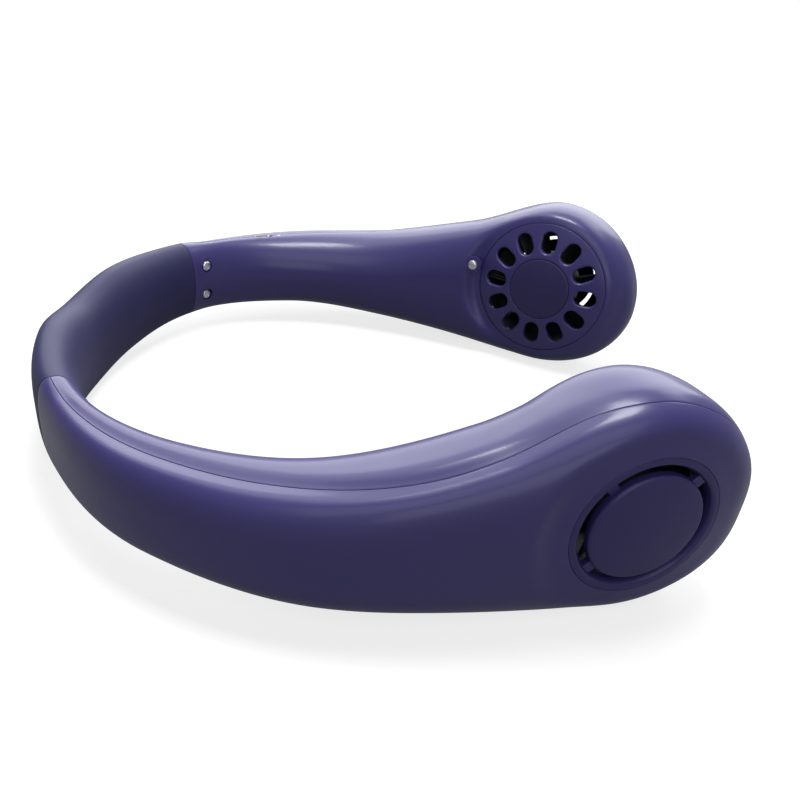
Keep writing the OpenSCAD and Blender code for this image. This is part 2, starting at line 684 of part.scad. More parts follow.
// Intake cover: a domed disc, held by ribs in a ring that sits behind the shell
flange_at = dome_at(flange_radius) - wall - 2*fit_gap;
rib_drop = 1;
rib_depth = 2;
dome_steps = 6;
function dome_line(from, to, drop) = [for (i = [0 : dome_steps])
    let(r = mix(from, to, i/dome_steps)) [r, dome_at(r) - drop]];
module intake_cover() {
    disc_radius = slot_radius - slot_width;
    foot = flange_at - cover_thickness;
    wall_radius = slot_radius - ring_flare;
    flare_depth = 2*ring_flare;
    color(dark_colour) at_fan() {
        rotate_extrude() polygon(concat(
            dome_line(0, disc_radius, 0), dome_line(disc_radius, 0, cover_thickness)));
        rotate_extrude() polygon(concat(
            [[wall_radius, foot], [flange_radius, foot], [flange_radius, flange_at],
             [cover_radius, flange_at]],
            dome_line(cover_radius, slot_radius, 0), [[wall_radius, dome_at(slot_radius) - flare_depth]]));
        for (i = [0 : rib_count - 1]) rotate([0, 0, (i + 0.5)*full_turn/rib_count])
            translate([slot_radius - 2*slot_width, -rib_width/2, dome_at(slot_radius) - rib_drop - rib_depth])
                cube([2*slot_width + rib_width/2, rib_width, rib_depth]);
    }
}

// Duct round the blades, standing in the grille's collar, with a notch for the motor wires
board_radius = 10.6;
motor_board_thickness = 0.8;
lead_size = 0.9;
lead_turn = 270;
lead_gap = 0.25;
lead_from = [board_radius + fit_gap, seat_at + lead_size/2 + fit_gap/2];
lead_to = [face_end + lead_gap, duct_seat + lead_size/2 + fit_gap];
lead_rise = lead_to - lead_from;
module fan_duct() {
    color("dimgray") at_fan() difference() {
        translate([0, 0, duct_seat]) tube(duct_radius + duct_wall, duct_radius, duct_length);
        motor_lead_room();
    }
}
module motor_lead_room() {
    low = duct_seat - lead_size;
    rotate([0, 0, lead_turn]) translate([duct_radius - cut, -1.5*lead_size, low])
        cube([face_end - duct_radius + 2*cut, 3*lead_size, flange_low + 2*grille_flange - low]);
}

// Motor: board, stator on the tower, rotor cup with its magnet ring
stator_gap = 1;
stator_at = seat_at + motor_board_thickness + stator_gap;
tooth_count = 6;
slot_depth = 3;
tooth_width = 2.4;
tooth_rim = 0.8;
module motor_board() {
    color("seagreen") at_fan() translate([0, 0, seat_at])
        tube(board_radius, tower_radius + fit_gap, motor_board_thickness);
}
module tooth_slots() {
    rim = tooth_rim;
    for (i = [0 : tooth_count - 1]) rotate([0, 0, (i + 0.5)*full_turn/tooth_count]) {
        translate([core_radius - slot_depth - rim, -slot_depth/2, -cut])
            cube([slot_depth, slot_depth, core_height + 2*cut]);
        translate([core_radius - 2*rim, -rim/2, -cut]) cube([3*rim, rim, core_height + 2*cut]);
    }
}
module stator_core() {
    color("slategray") at_fan() translate([0, 0, stator_at]) difference() {
        tube(core_radius, tower_radius + fit_gap/5, core_height);
        tooth_slots();
    }
}
coil_over = 0.5;
module stator_coils() {
    yoke = 0.7;
    inner_end = tower_radius + yoke;
    coil_run = core_radius - tooth_rim - inner_end;
    color("peru") at_fan() translate([0, 0, stator_at]) for (i = [0 : tooth_count - 1])
        rotate([0, 0, i*full_turn/tooth_count]) {
            translate([inner_end, -tooth_width/2, core_height]) cube([coil_run, tooth_width, coil_over]);
            translate([inner_end, -tooth_width/2, -coil_over]) cube([coil_run, tooth_width, coil_over]);
        }
}
tower_rise = 1.4;
tower_top = stator_at + core_height + tower_rise;
bush_low = tower_top - 2*bush_length - bush_gap;
module bushes() {
    color("goldenrod") at_fan() for (z = [bush_low, bush_low + bush_length + bush_gap])
        translate([0, 0, z]) tube(bush_radius, shaft_radius + shaft_clearance, bush_length);
}
rotor_low = stator_at - fit_gap;
rotor_top = rotor_low + rotor_length;
shaft_low = bush_low + fit_gap;
hub_floor = rotor_top - hub_wall;
hub_boss_gap = 0.5;
boss_low = tower_top + hub_boss_gap;
module motor_shaft() {
    color("silver") at_fan() translate([0, 0, shaft_low])
        cylinder(r = shaft_radius, h = hub_floor + hub_wall/2 - shaft_low);
}
magnet_radius = hub_radius - hub_wall;
module rotor_magnet() {
    color("darkslategray") at_fan() translate([0, 0, rotor_low + coil_over])
        tube(magnet_radius - fit_gap/5, magnet_radius - magnet_thickness, core_height + coil_over);
}
blade_low = lead_to[1] + lead_size;
blade_top = rotor_top - fit_gap;
module blade() {
    reach = blade_radius - hub_radius + hub_wall;
    height = blade_top - blade_low;
    intersection() {
        rotate([blade_angle, 0, 0])
            translate([hub_radius - hub_wall/2, -height, -blade_thickness/2])
                cube([2*reach, 2*height, blade_thickness]);
        translate([0, 0, -height/2]) cylinder(r = blade_radius, h = height);
    }
}
module fan_rotor() {
    shaft_gap = fit_gap/5;
    color("#46504b") at_fan() difference() {
        union() {
            translate([0, 0, rotor_low]) cylinder(r = hub_radius, h = rotor_length);
            for (i = [0 : blade_count - 1]) rotate([0, 0, i*full_turn/blade_count])
                translate([0, 0, (blade_low + blade_top)/2]) blade();
        }
        translate([0, 0, rotor_low - cut]) difference() {
            cylinder(r = magnet_radius, h = hub_floor - rotor_low + cut);
            translate([0, 0, boss_low - rotor_low + cut]) cylinder(r = 2*shaft_radius + shaft_gap, h = rotor_length);
        }
        translate([0, 0, boss_low - cut])
            cylinder(r = shaft_radius + shaft_gap, h = hub_floor + hub_wall/2 - boss_low + cut);
    }
}

// Battery in its tray, on a foam pad, on two bosses of the outer shell
battery_round = 1.5;
module slab(x, y, z, round) {
    // A plate that is x thick, with rounded corners in the plane of y and z
    rotate([90, 0, 90]) linear_extrude(x) {
        translate([-y/2 + round, -z/2]) square([y - 2*round, z]);
        translate([-y/2, -z/2 + round]) square([y, z - 2*round]);
        for (a = [-1, 1], b = [-1, 1]) translate([a*(y/2 - round), b*(z/2 - round)]) circle(r = round);
    }
}
pad_out = tray_out - tray_thickness - pad_thickness;
module battery() {
    color("#8f9399") at_run(battery_run)
        translate([pad_out - battery_thickness, 0, 0])
            slab(battery_thickness, battery_length, battery_height, battery_round);
}
module battery_pad() {
    color("#24242a") at_run(battery_run) translate([pad_out, 0, 0])
        slab(pad_thickness, battery_length, battery_height, battery_round);
}
lip_reach = 4;
module battery_tray() {
    length = battery_length + 2*fit_gap + 2*tray_thickness;
    lip = pad_thickness + lip_reach;
    color("#d8d8d2") at_run(battery_run) {
        translate([tray_out - tray_thickness, 0, 0])
            slab(tray_thickness, length, battery_height, battery_round);
        for (side = [-1, 1])
            translate([tray_out - tray_thickness - lip,
                       side*(length - tray_thickness)/2 - tray_thickness/2, -battery_height/4])
                cube([lip + tray_thickness/2, tray_thickness, battery_height/2]);
    }
}

// Wires: from the band under the battery to the fan, and from the band to the battery.
// On the left they start and end on the control board.
switch_size = 4.6;
switch_depth = 2;
button_flange_gap = 0.5;
button_flange_rise = 0.7;
plunger_reach = 0.6;
button_play = 0.2;
button_stack = button_flange_gap + button_flange_rise + button_play + plunger_reach + switch_depth;
board_out = outer_at(button_run) - wall - button_stack - board_thickness;
board_up = 0.4;
wire_low = -battery_height/2 - wire_size;
wire_gap = 0.75;
wire_start = band_run + anchor_run + 2*fit_gap;
wire_spread = 0.6;
battery_wire_drop = 3;
battery_wire_rise = battery_height/2 - battery_wire_drop;
function fan_spot(r, z, up) =
    fan_middle - r*[cos(fan_heading + 90), sin(fan_heading + 90), 0] + z*fan_axis + [0, 0, up];
// The collar bends before the fan, so the wires end this much earlier on its inner side
lead_back = -lead_to[1]*sin(heading_at(arm_run) - heading_at(arm_run - lead_to[0]));
wire_end = arm_run - lead_to[0] - lead_gap - lead_back;
wire_end_spot = fan_spot(lead_to[0] + lead_gap, lead_to[1], 0) - spot(wire_end, 0, middle_at(wire_end));
wire_end_out = wire_end_spot*[cos(heading_at(wire_end) - 90), sin(heading_at(wire_end) - 90), 0];
wire_end_up = wire_end_spot[2];
wire_steps = 24;
module wire(marks) {
    runs = [for (m = marks) m[0]];
    outs = [for (m = marks) m[1]];
    ups = [for (m = marks) m[2]];
    swept([for (k = [0 : wire_steps])
        let(run = mix(runs[0], runs[len(runs) - 1], k/wire_steps))
        wire_ring(run, through(runs, outs, run), through(runs, ups, run))]);
}
solder_out = board_out - wire_size/2 - fit_gap/2;
battery_wire_gap = 0.7;
// Part of the way to the battery after which a wire runs straight
wire_turn_share = 0.8;
// Height over the centre line of a place under the battery, whose height is from the battery's middle
function under_battery(run) = middle_at(battery_run) - middle_at(run) + wire_low;
module arm_wires(controls) {
    for (i = [0, 1]) {
        side = 2*i - 1;
        bend_end = battery_back + (wire_end - battery_back)/2;
        start = controls ? [board_run + board_length/3, solder_out, wire_low/2 + side*wire_pitch/2]
                         : [wire_start, wire_out, wire_rise(i)];
        place = side*wire_gap - wire_size;
        color(wire_colours[i]) wire(concat([start],
            [for (run = [mix(start[0], battery_front, wire_turn_share), battery_run, battery_back + wire_size])
                [run, place, under_battery(run)]],
            [[bend_end, mix(-wire_size, wire_end_out, 0.5) + side*wire_gap, wire_low/2 + side*wire_gap],
             [wire_end, wire_end_out, wire_end_up + side*wire_gap]]));
    }
}
module battery_wires(controls) {
    for (i = [0, 1]) {
        side = 1 - 2*i;
        end = battery_front - battery_wire_gap;
        start = controls ? [board_run + board_length/3, solder_out, battery_wire_rise - wire_size - side*wire_size]
                         : [wire_start, wire_out, wire_rise(i + 2)];
        color(wire_colours[i + 2]) wire([start,
            [mix(start[0], end, wire_turn_share), side*wire_gap - wire_size, battery_wire_rise],
            [end, side*wire_gap - wire_size, battery_wire_rise]]);
        if (controls) for (j = [0, 2]) color(wire_colours[i + j]) wire([
            [wire_start, wire_out, wire_rise(i + j)],
            [board_run - board_length/2 + 2*wire_size, solder_out, wire_rise(i + j)]]);
    }
}
module motor_wires() {
    for (i = [0, 1]) color(wire_colours[i]) at_fan() rotate([0, 0, lead_turn])
        translate([lead_from[0], (1 - 2*i)*wire_spread*lead_size, lead_from[1]])
            rotate([0, 90 - atan2(lead_rise[1], lead_rise[0]), 0]) cylinder(d = lead_size, h = norm(lead_rise));
}

// Control board of the left arm, with the charging port, the switch and the light
plunger_radius = 1.2;
button_skin = outer_at(button_run);
board_boss_radius = 1.8;
wall_bite_share = 0.8;
board_edge = 0.4;
board_boss_up = board_up + board_edge + board_boss_radius - board_height/2;
board_round = 1;
module on_board(run, up) {
    // Frame of the board, moved along it by the run between two places
    at_run(board_run) translate([board_out, run - board_run, up]) children();
}
module control_board() {
    color("seagreen") {
        on_board(board_run, board_up) slab(board_thickness, board_length, board_height, board_round);
        on_board(light_run, 0) translate([-lens_radius, -lens_radius, board_up + board_height/2 - 2*lens_radius])
            cube([lens_radius, 2*lens_radius, lens_radius]);
    }
}
port_room = 0.3;
port_out = board_out - port_thickness/2;
port_sink = 0.5;
port_top = half_at(port_run) - port_sink;
module port_box(grow, height) {
    translate([port_out - board_out, 0, 0]) linear_extrude(height) {
        square([port_thickness + 2*grow, port_width - port_thickness], center = true);
        for (side = [-1, 1]) translate([0, side*(port_width - port_thickness)/2])
            circle(d = port_thickness + 2*grow);
    }
}
module charging_port() {
    shell = 0.3;
    color("silver") on_board(port_run, middle_at(port_run) - middle_at(board_run) + port_top - port_depth)
        difference() {
            port_box(0, port_depth);
            translate([0, 0, 2*shell]) difference() {
                port_box(-shell, port_depth);
                translate([port_out - board_out - port_thickness/8, -port_width/4, -cut])
                    cube([port_thickness/4, port_width/2, port_depth]);
            }
        }
}
module port_opening() {
    on_board(port_run, middle_at(port_run) - middle_at(board_run) + port_top - port_depth + cut)
        port_box(port_room, port_depth + 2*cut);
}
light_out = port_out;
light_top = half_at(light_run);
module at_light() {
    at_run(light_run) translate([light_out, 0, 0]) children();
}
module charge_light_lens() {
    foot = 1.4;
    sink = 0.15;
    low = light_top - wall - foot;
    color("#dfe8ff") at_light() translate([0, 0, low])
        cylinder(r = lens_radius, h = light_top - low - sink);
}
module lens_opening() {
    at_light() translate([0, 0, light_top - 2*wall]) cylinder(r = lens_radius + fit_gap/2, h = 2*wall + cut);
}
function fall_at(along) = along*along/(2*side_radius);
module board_bosses() {
    for (along = (board_length/2 - board_boss_radius)*[-1, 1])
        on_board(board_run + along, board_boss_up) translate([board_thickness, 0, 0])
            rotate([0, 90, 0]) cylinder(r = board_boss_radius,
                h = outer_at(board_run + along) - fall_at(along) - wall_bite_share*wall - board_out - board_thickness);
}
switch_out = board_thickness;
button_up = -1;
module button_switch() {
    color("#303036") on_board(button_run, button_up) difference() {
        translate([switch_out, -switch_size/2, -switch_size/2]) cube([switch_depth, switch_size, switch_size]);
        translate([switch_out + switch_depth/3, 0, 0]) rotate([0, 90, 0])
            cylinder(r = plunger_radius + fit_gap/2, h = switch_depth);
    }
}
plunger_low = switch_out + switch_depth/3 + button_travel + fit_gap;
plunger_top = switch_out + switch_depth + plunger_reach;
module switch_plunger() {
    color("gainsboro") on_board(button_run, button_up) translate([plunger_low, 0, 0])
        rotate([0, 90, 0]) cylinder(r = plunger_radius, h = plunger_top - plunger_low);
}
button_face = button_skin - board_out + button_rise;
button_flange = 0.8;
button_slant = atan((outer_at(button_run + button_radius) - outer_at(button_run - button_radius))
                    /(2*button_radius));
flange_top = button_skin - board_out - wall - button_flange_gap;
module power_button() {
    flange = button_flange_rise;
    stem_wall = 0.3;
    color(dark_colour) on_board(button_run, button_up) rotate([0, 90, 0]) {
        translate([0, 0, plunger_top]) cylinder(r = plunger_radius + stem_wall, h = flange_top - plunger_top);
        translate([0, 0, flange_top - flange]) cylinder(r = button_radius + button_flange, h = flange);
        difference() {
            translate([0, 0, flange_top - flange]) cylinder(r = button_radius, h = outer_depth);
            // The face follows the slope of the shell
            translate([0, 0, button_face]) rotate([button_slant, 0, 0])
                translate([-outer_depth, -outer_depth, 0]) cube(2*outer_depth);
        }
    }
}
module button_opening() {
    on_board(button_run, button_up) rotate([0, 90, 0]) {
        cylinder(r = button_radius + fit_gap, h = outer_depth);
        cylinder(r = button_radius + button_flange + 2*fit_gap, h = flange_top + fit_gap);
    }
}

band_sleeve();
band_spring_strip();
band_wires();
left() inner_shell(true);  // left_inner_shell
left() outer_shell(true);  // left_outer_shell
left() band_anchor();  // left_band_anchor
left() outlet_grille();  // left_outlet_grille
left() grille_cap();  // left_grille_cap
left() intake_cover();  // left_intake_cover
left() fan_duct();  // left_fan_duct
left() motor_board();  // left_motor_board
left() stator_core();  // left_stator_core
left() stator_coils();  // left_stator_coils
left() bushes();  // left_bushes
left() motor_shaft();  // left_motor_shaft
left() rotor_magnet();  // left_rotor_magnet
left() fan_rotor();  // left_fan_rotor
left() battery();  // left_battery
left() battery_pad();  // left_battery_pad
left() battery_tray();  // left_battery_tray
left() screws();  // left_screws
left() arm_wires(true);  // left_arm_wires
left() battery_wires(true);  // left_battery_wires
left() motor_wires();  // left_motor_wires
inner_shell(false);  // right_inner_shell
outer_shell(false);  // right_outer_shell
band_anchor();  // right_band_anchor
outlet_grille();  // right_outlet_grille
grille_cap();  // right_grille_cap
intake_cover();  // right_intake_cover
fan_duct();  // right_fan_duct
motor_board();  // right_motor_board
stator_core();  // right_stator_core
stator_coils();  // right_stator_coils
bushes();  // right_bushes
motor_shaft();  // right_motor_shaft
rotor_magnet();  // right_rotor_magnet
fan_rotor();  // right_fan_rotor
battery();  // right_battery
battery_pad();  // right_battery_pad
battery_tray();  // right_battery_tray
screws();  // right_screws
arm_wires(false);  // right_arm_wires
battery_wires(false);  // right_battery_wires
motor_wires();  // right_motor_wires
left() control_board();
left() charging_port();
left() button_switch();
left() switch_plunger();
left() power_button();
left() charge_light_lens();
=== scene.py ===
# Looks of the neck fan: finely made shells, band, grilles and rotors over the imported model.
# Lengths are in millimetres until a mesh is made, in the model's own frame; lamps are placed in metres.
import math

import bmesh
import bpy
import numpy as np
from mathutils import Matrix, Vector


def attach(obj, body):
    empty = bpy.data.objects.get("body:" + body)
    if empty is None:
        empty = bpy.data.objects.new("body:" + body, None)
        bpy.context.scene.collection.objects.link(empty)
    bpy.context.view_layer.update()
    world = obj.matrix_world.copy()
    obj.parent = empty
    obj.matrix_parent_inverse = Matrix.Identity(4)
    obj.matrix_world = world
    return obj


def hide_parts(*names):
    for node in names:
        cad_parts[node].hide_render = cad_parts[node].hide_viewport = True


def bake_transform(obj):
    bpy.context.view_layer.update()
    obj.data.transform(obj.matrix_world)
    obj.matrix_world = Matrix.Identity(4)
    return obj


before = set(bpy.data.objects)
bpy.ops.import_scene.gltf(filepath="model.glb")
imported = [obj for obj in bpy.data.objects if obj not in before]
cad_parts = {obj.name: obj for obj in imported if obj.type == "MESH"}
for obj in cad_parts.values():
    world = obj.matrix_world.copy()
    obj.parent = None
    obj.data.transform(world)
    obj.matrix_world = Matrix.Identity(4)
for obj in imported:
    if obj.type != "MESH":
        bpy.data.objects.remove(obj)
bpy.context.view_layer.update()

MM = 0.001

# Camera at the photograph's view
camera_azimuth = -0.12
camera_elevation = 26.63
camera_roll = 7.02
camera_distance = 334.3
camera_target = (13.85, 39.6, -11.2)
camera_lens = 39.26
sensor_width = 36

# Outline of the collar
arm_run = 219
tip_run = 34.5
nape_radius = 129
side_radius = 76
front_radius = 430
side_share = 0.41
head_height = 61.4
outer_depth = 17
inner_depth = 17.1
tip_drop = 3.7
tip_shift = 1.6
tip_fullness = 0.8
height_marks_share = [0, 0.12, 0.25, 0.5, 0.68, 0.84, 1]
top_shares = [0.484, 0.539, 0.542, 0.554, 0.616, 0.779, 1]
bottom_shares = [0, 0.038, 0.088, 0.099, 0.055, 0.025, 0]
depth_marks_share = [0, 0.15, 0.3, 0.5, 0.65, 0.88, 1]
outer_shares = [0.46, 0.33, 0.31, 0.62, 0.85, 0.92, 1]
inner_shares = [0.35, 0.4, 0.4, 0.72, 0.895, 0.98, 1]
outer_power = 3
arm_inner_power = 2.2
head_inner_power = 3
power_change_share = 0.6
lean = 0.07
parting_marks_share = [0.28, 0.5, 0.62, 0.78, 0.92, 1]
parting_shares = [0.1, 0.12, 0.22, 0.42, 0.24, 0.34]
parting_tip_share = 0.5

# Shells
wall = 1.8
valley_depth = 1.1
valley_width = 3
valley_fade_share = 0.75
valley_fade_from_share = 0.85
skin_gap = 0.12
lip = 0.14
fit_gap = 0.1
cut = 1

# Band
band_run = 62.2
band_share = 0.284
seam_gap = 0.16
pocket_height = 19.06
pocket_depth = 3.8
pocket_power = 6
strip_height = 17.06
strip_thickness = 0.6
strip_offset = 0.6
wire_size = 1.2
wire_pitch = 2.42
anchor_run = 13
blend_start = 6
blend_height = 18

# Fan
grille_radius = 24.8
grille_thickness = 2
face_radius = 85
hole_count = 12
hole_circle = 17.8
hole_width = 5.6
hole_length = 8.2
cap_radius = 11.5
cap_thickness = 1
slot_radius = 17.4
slot_width = 2.6
ring_flare = 1
cover_radius = 19.2
flange_radius = 21
dome_radius = 100
cover_thickness = 1.6
outer_reach_share = 0.96
rib_count = 4
rib_width = 3
blade_radius = 22.1
blade_count = 7
blade_angle = 52
blade_twist = 10
rotor_length = 13
hub_radius = 12.4
hub_wall = 1.3
duct_radius = 22.9
duct_wall = 1.1
bush_radius = 3
tower_radius = 4.1
seat_rise = 0.8
motor_board_thickness = 0.8
stator_gap = 1
stator_height = 5
tower_rise = 1.4

# Places on the arms
head_radius = 1.9
head_rise = 1.2
shank_radius = 0.85
shank_length = 4.5
recess_depth = 1.6
recess_radius = 2.3
pad_floor = 1.1
band_screw_run = 6.7
band_screw_rise = 5.63
grille_screw_run = 29
grille_screw_rise = 9.4
board_run = 93
board_out = 0.51
board_thickness = 1
port_run = 97.7
port_width = 7.4
port_thickness = 2.5
port_depth = 5.2
port_room = 0.3
port_sink = 0.5
light_run = 104.3
lens_radius = 0.8
button_run = 88
button_up = -1
button_radius = 4
button_rise = 0.8
button_travel = 0.5
switch_height = 2
plunger_radius = 1.2
plunger_rise = 0.6


def ease(t):
    t = np.clip(t, 0, 1)
    return t * t * (3 - 2 * t)


def mix(a, b, t):
    return a + (b - a) * t


def through(marks, values, q):
    """Smooth curve through given values at given marks, level at both ends."""
    marks, values = np.array(marks, float), np.array(values, float)
    gaps = np.diff(marks)
    rates = np.diff(values) / gaps
    slopes = np.zeros(len(marks))
    for i in range(1, len(marks) - 1):
        if rates[i - 1] * rates[i] > 0:
            slopes[i] = (rates[i - 1] * gaps[i] + rates[i] * gaps[i - 1]) / (gaps[i - 1] + gaps[i])
    i = np.clip(np.searchsorted(marks, q, side="right") - 1, 0, len(marks) - 2)
    t = np.clip((q - marks[i]) / gaps[i], 0, 1)
    blend = mix(values[i], values[i + 1], ease(t))
    return blend + gaps[i] * t * (1 - t) * ((1 - t) * slopes[i] - t * slopes[i + 1])


def share_at(run):
    return np.interp(np.abs(run), [0, band_run, arm_run], [0, band_share, 1])


# Centre line of the right arm, walked in small equal steps
spine_steps = 1020
spine_runs = np.linspace(0, arm_run + tip_run, spine_steps + 1)
spine_step = spine_runs[1]
middles = share_at(spine_runs[:-1] + spine_step / 2)
bends = (1 / nape_radius + (1 / side_radius - 1 / nape_radius) * ease(middles / side_share)
         + (1 / front_radius - 1 / side_radius) * ease((middles - side_share) / (1 - side_share)))
turns = bends * spine_step
headings = -math.pi / 2 + np.concatenate([[0], np.cumsum(turns)])
steps = headings[:-1] + turns / 2
spine_x = np.concatenate([[0], np.cumsum(np.cos(steps) * spine_step)])
spine_y = np.concatenate([[0], np.cumsum(np.sin(steps) * spine_step)])
shift_x = (outer_depth * outer_shares[0] - spine_x[-1]) / 2


def spot(run, out, up):
    """Point of the collar at a run along the centre line, out of it and up."""
    run, out, up = np.broadcast_arrays(np.asarray(run, float), out, up)
    reach = np.abs(run)
    heading = np.interp(reach, spine_runs, headings)
    x = np.interp(reach, spine_runs, spine_x) + out * np.sin(heading) + shift_x
    y = np.interp(reach, spine_runs, spine_y) - out * np.cos(heading)
    return np.stack([x, np.where(run < 0, -y, y), up], -1)


def heading_at(run):
    return float(np.interp(run, spine_runs, headings))


def past_axis(run):
    """How far a run lies past the fan's axis, from 0 to 1 at the tip."""
    return np.clip((np.abs(run) - arm_run) / tip_run, 0, 1)


def cap_at(run):
    return np.sqrt(1 - past_axis(run) ** 2)


def top_at(run):
    return head_height * through(height_marks_share, top_shares, share_at(run))


def bottom_at(run):
    return head_height * through(height_marks_share, bottom_shares, share_at(run))


def middle_at(run):
    return (top_at(run) + bottom_at(run)) / 2 - tip_drop * past_axis(run) ** 2


def half_at(run):
    return (top_at(run) - bottom_at(run)) / 2


def outer_at(run):
    return outer_depth * through(depth_marks_share, outer_shares, share_at(run))


def inner_at(run):
    return inner_depth * through(depth_marks_share, inner_shares, share_at(run))


def oval(run, angle, skin):
    """Point of a section, out and up, at an angle from straight out, under a skin."""
    c, s = np.cos(angle), np.sin(angle)
    change = ease((share_at(run) - power_change_share) / (1 - power_change_share))
    inner_power = mix(arm_inner_power, head_inner_power, change)
    power = 2 / np.where(c > 0, outer_power, inner_power)
    reach = (np.where(c > 0, outer_at(run), inner_at(run)) - skin) * cap_at(run) ** tip_fullness
    up = (half_at(run) - skin) * cap_at(run) * np.sign(s) * np.abs(s) ** power
    out = reach * np.sign(c) * np.abs(c) ** power + lean * up + tip_shift * past_axis(run) ** 2
    return np.stack([out, up], -1)


def parting_at(run):
    share = through(parting_marks_share, parting_shares, share_at(run))
    return np.arccos(mix(share, parting_tip_share, past_axis(run)))


def valley_at(run):
    fade = ease((share_at(run) - valley_fade_from_share) / (1 - valley_fade_from_share))
    growth = ease((np.abs(run) - band_run) / anchor_run)
    return valley_depth * growth * cap_at(run) * (1 - valley_fade_share * fade)


def dented(run, angle, skin):
    """Point of a section with the soft valley along the parting line."""
    p = oval(run, angle, skin)
    edge = parting_at(run)
    gap = np.minimum(np.linalg.norm(p - oval(run, edge, skin), axis=-1),
                     np.linalg.norm(p - oval(run, -edge, skin), axis=-1))
    length = np.maximum(np.linalg.norm(p, axis=-1), 1e-9)
    dent = np.where(length < wall, 0, valley_at(run) * np.exp(-(gap / valley_width) ** 2))
    return p * (1 - dent / length)[..., None]


# The fan's axis, and the domes that both faces turn into round it
fan_heading = heading_at(arm_run) - math.pi / 2
fan_dip = math.atan(lean)
fan_axis = np.array([math.cos(fan_heading) * math.cos(fan_dip),
                     math.sin(fan_heading) * math.cos(fan_dip), -math.sin(fan_dip)])
fan_middle = spot(arm_run, 0, head_height / 2)
outer_reach = outer_depth * outer_reach_share
dome_end = flange_radius + cut
dome_blend = 7
face_end = grille_radius + 1.2 * cut
face_blend = 5


def dome_at(r):
    return outer_reach - r * r / (2 * dome_radius)


def face_at(r):
    return r * r / (2 * face_radius) - inner_depth


def ringed(p, outside, skin):
    """Point drawn onto the dome or the hollow face round the fan's axis."""
    v = p - fan_middle
    a = v @ fan_axis
    r = np.linalg.norm(v - a[..., None] * fan_axis, axis=-1)
    goal = np.where(outside, dome_at(r) - skin, face_at(r) + skin)
    keep = np.where(outside, ease((r - dome_end) / dome_blend), ease((r - face_end) / face_blend))
    pull = np.where(np.where(outside, a, -a) < 0, 0, (goal - a) * (1 - keep))
    return p + pull[..., None] * fan_axis


def skin_point(run, angle, skin):
    """Point of the collar's skin, or of the same skin set in by a wall."""
    run, angle, skin = np.broadcast_arrays(np.asarray(run, float), angle, skin)
    p = dented(run, angle, skin)
    real = np.where(run <= arm_run, run, arm_run + (tip_run - skin) * past_axis(run))
    return ringed(spot(real, p[..., 0], middle_at(run) + p[..., 1]), np.cos(angle) > 0, skin)


# Mesh making
smooth_below = math.radians(38)
fine_weld = 0.0005
wide_weld = 0.003
sharp_rim = math.radians(50)
rim_segments = 3


def make_mesh(name, points, faces, weld=fine_weld):
    """A closed mesh from points in millimetres; doubles are welded and faces turned outwards."""
    mesh = bpy.data.meshes.new(name)
    mesh.from_pydata((np.asarray(points, float) * MM).tolist(), [], faces)
    bm = bmesh.new()
    bm.from_mesh(mesh)
    bmesh.ops.remove_doubles(bm, verts=bm.verts, dist=weld * MM)
    bmesh.ops.recalc_face_normals(bm, faces=bm.faces)
    bm.to_mesh(mesh)
    bm.free()
    obj = bpy.data.objects.new(name, mesh)
    bpy.context.scene.collection.objects.link(obj)
    return obj


def smooth(obj):
    obj.data.shade_smooth()
    obj.data.set_sharp_from_angle(angle=smooth_below)
    return obj


def grid(n, m, close_rows=False, close_columns=True):
    """Faces between n rows of m points; closed rows or columns go on from the last to the first."""
    return [[k * m + i, k * m + (i + 1) % m, (k + 1) % n * m + (i + 1) % m, (k + 1) % n * m + i]
            for k in range(n if close_rows else n - 1) for i in range(m if close_columns else m - 1)]


def loops_mesh(rings):
    """Points and faces of a tube through rings of equal count, with one face over each end."""
    rings = np.asarray(rings, float)
    n, m = rings.shape[:2]
    faces = grid(n, m) + [list(range(m))[::-1], [(n - 1) * m + i for i in range(m)]]
    return rings.reshape(-1, 3), faces


def joined(parts):
    """Points and faces of several meshes as one."""
    points, faces, start = [], [], 0
    for p, f in parts:
        points.append(np.asarray(p, float))
        faces += [[start + i for i in face] for face in f]
        start += len(p)
    return np.concatenate(points), faces


def mirrored(parts):
    points, faces = parts
    return np.asarray(points) * [1, -1, 1], faces


def on_side(side, parts):
    """Parts as they are on the wearer's right, side -1, or mirrored for the left, side 1."""
    return mirrored(parts) if side > 0 else parts


def rounded(corners, radius, steps=4):
    """A closed outline with its corners rounded; a corner is x, y or x, y, radius."""
    made = []
    count = len(corners)
    for i, corner in enumerate(corners):
        here = np.array(corner[:2], float)
        size = corner[2] if len(corner) > 2 else radius
        before = np.array(corners[i - 1][:2], float) - here
        after = np.array(corners[(i + 1) % count][:2], float) - here
        la, lb = np.linalg.norm(before), np.linalg.norm(after)
        size = min(size, la * 0.49, lb * 0.49)
        if size < 1e-4:
            made.append(here)
            continue
        a, b = here + before / la * size, here + after / lb * size
        for k in range(steps + 1):
            t = k / steps
            made.append((1 - t) ** 2 * a + 2 * t * (1 - t) * here + t * t * b)
    return np.array(made)


def lathe(outline, turns=128):
    """Solid of revolution of a closed outline of r and z, round Z."""
    angles = np.arange(turns) * 2 * math.pi / turns
    r, z = outline[:, 0], outline[:, 1]
    points = np.stack([r * np.cos(angles)[:, None], r * np.sin(angles)[:, None],
                       np.broadcast_to(z, (turns, len(z)))], -1)
    return points.reshape(-1, 3), grid(turns, len(outline), close_rows=True)


def box(low, high):
    (x0, y0, z0), (x1, y1, z1) = low, high
    points = [[x, y, z] for x in (x0, x1) for y in (y0, y1) for z in (z0, z1)]
    faces = [[0, 1, 3, 2], [4, 6, 7, 5], [0, 4, 5, 1], [2, 3, 7, 6], [0, 2, 6, 4], [1, 5, 7, 3]]
    return np.array(points, float), faces


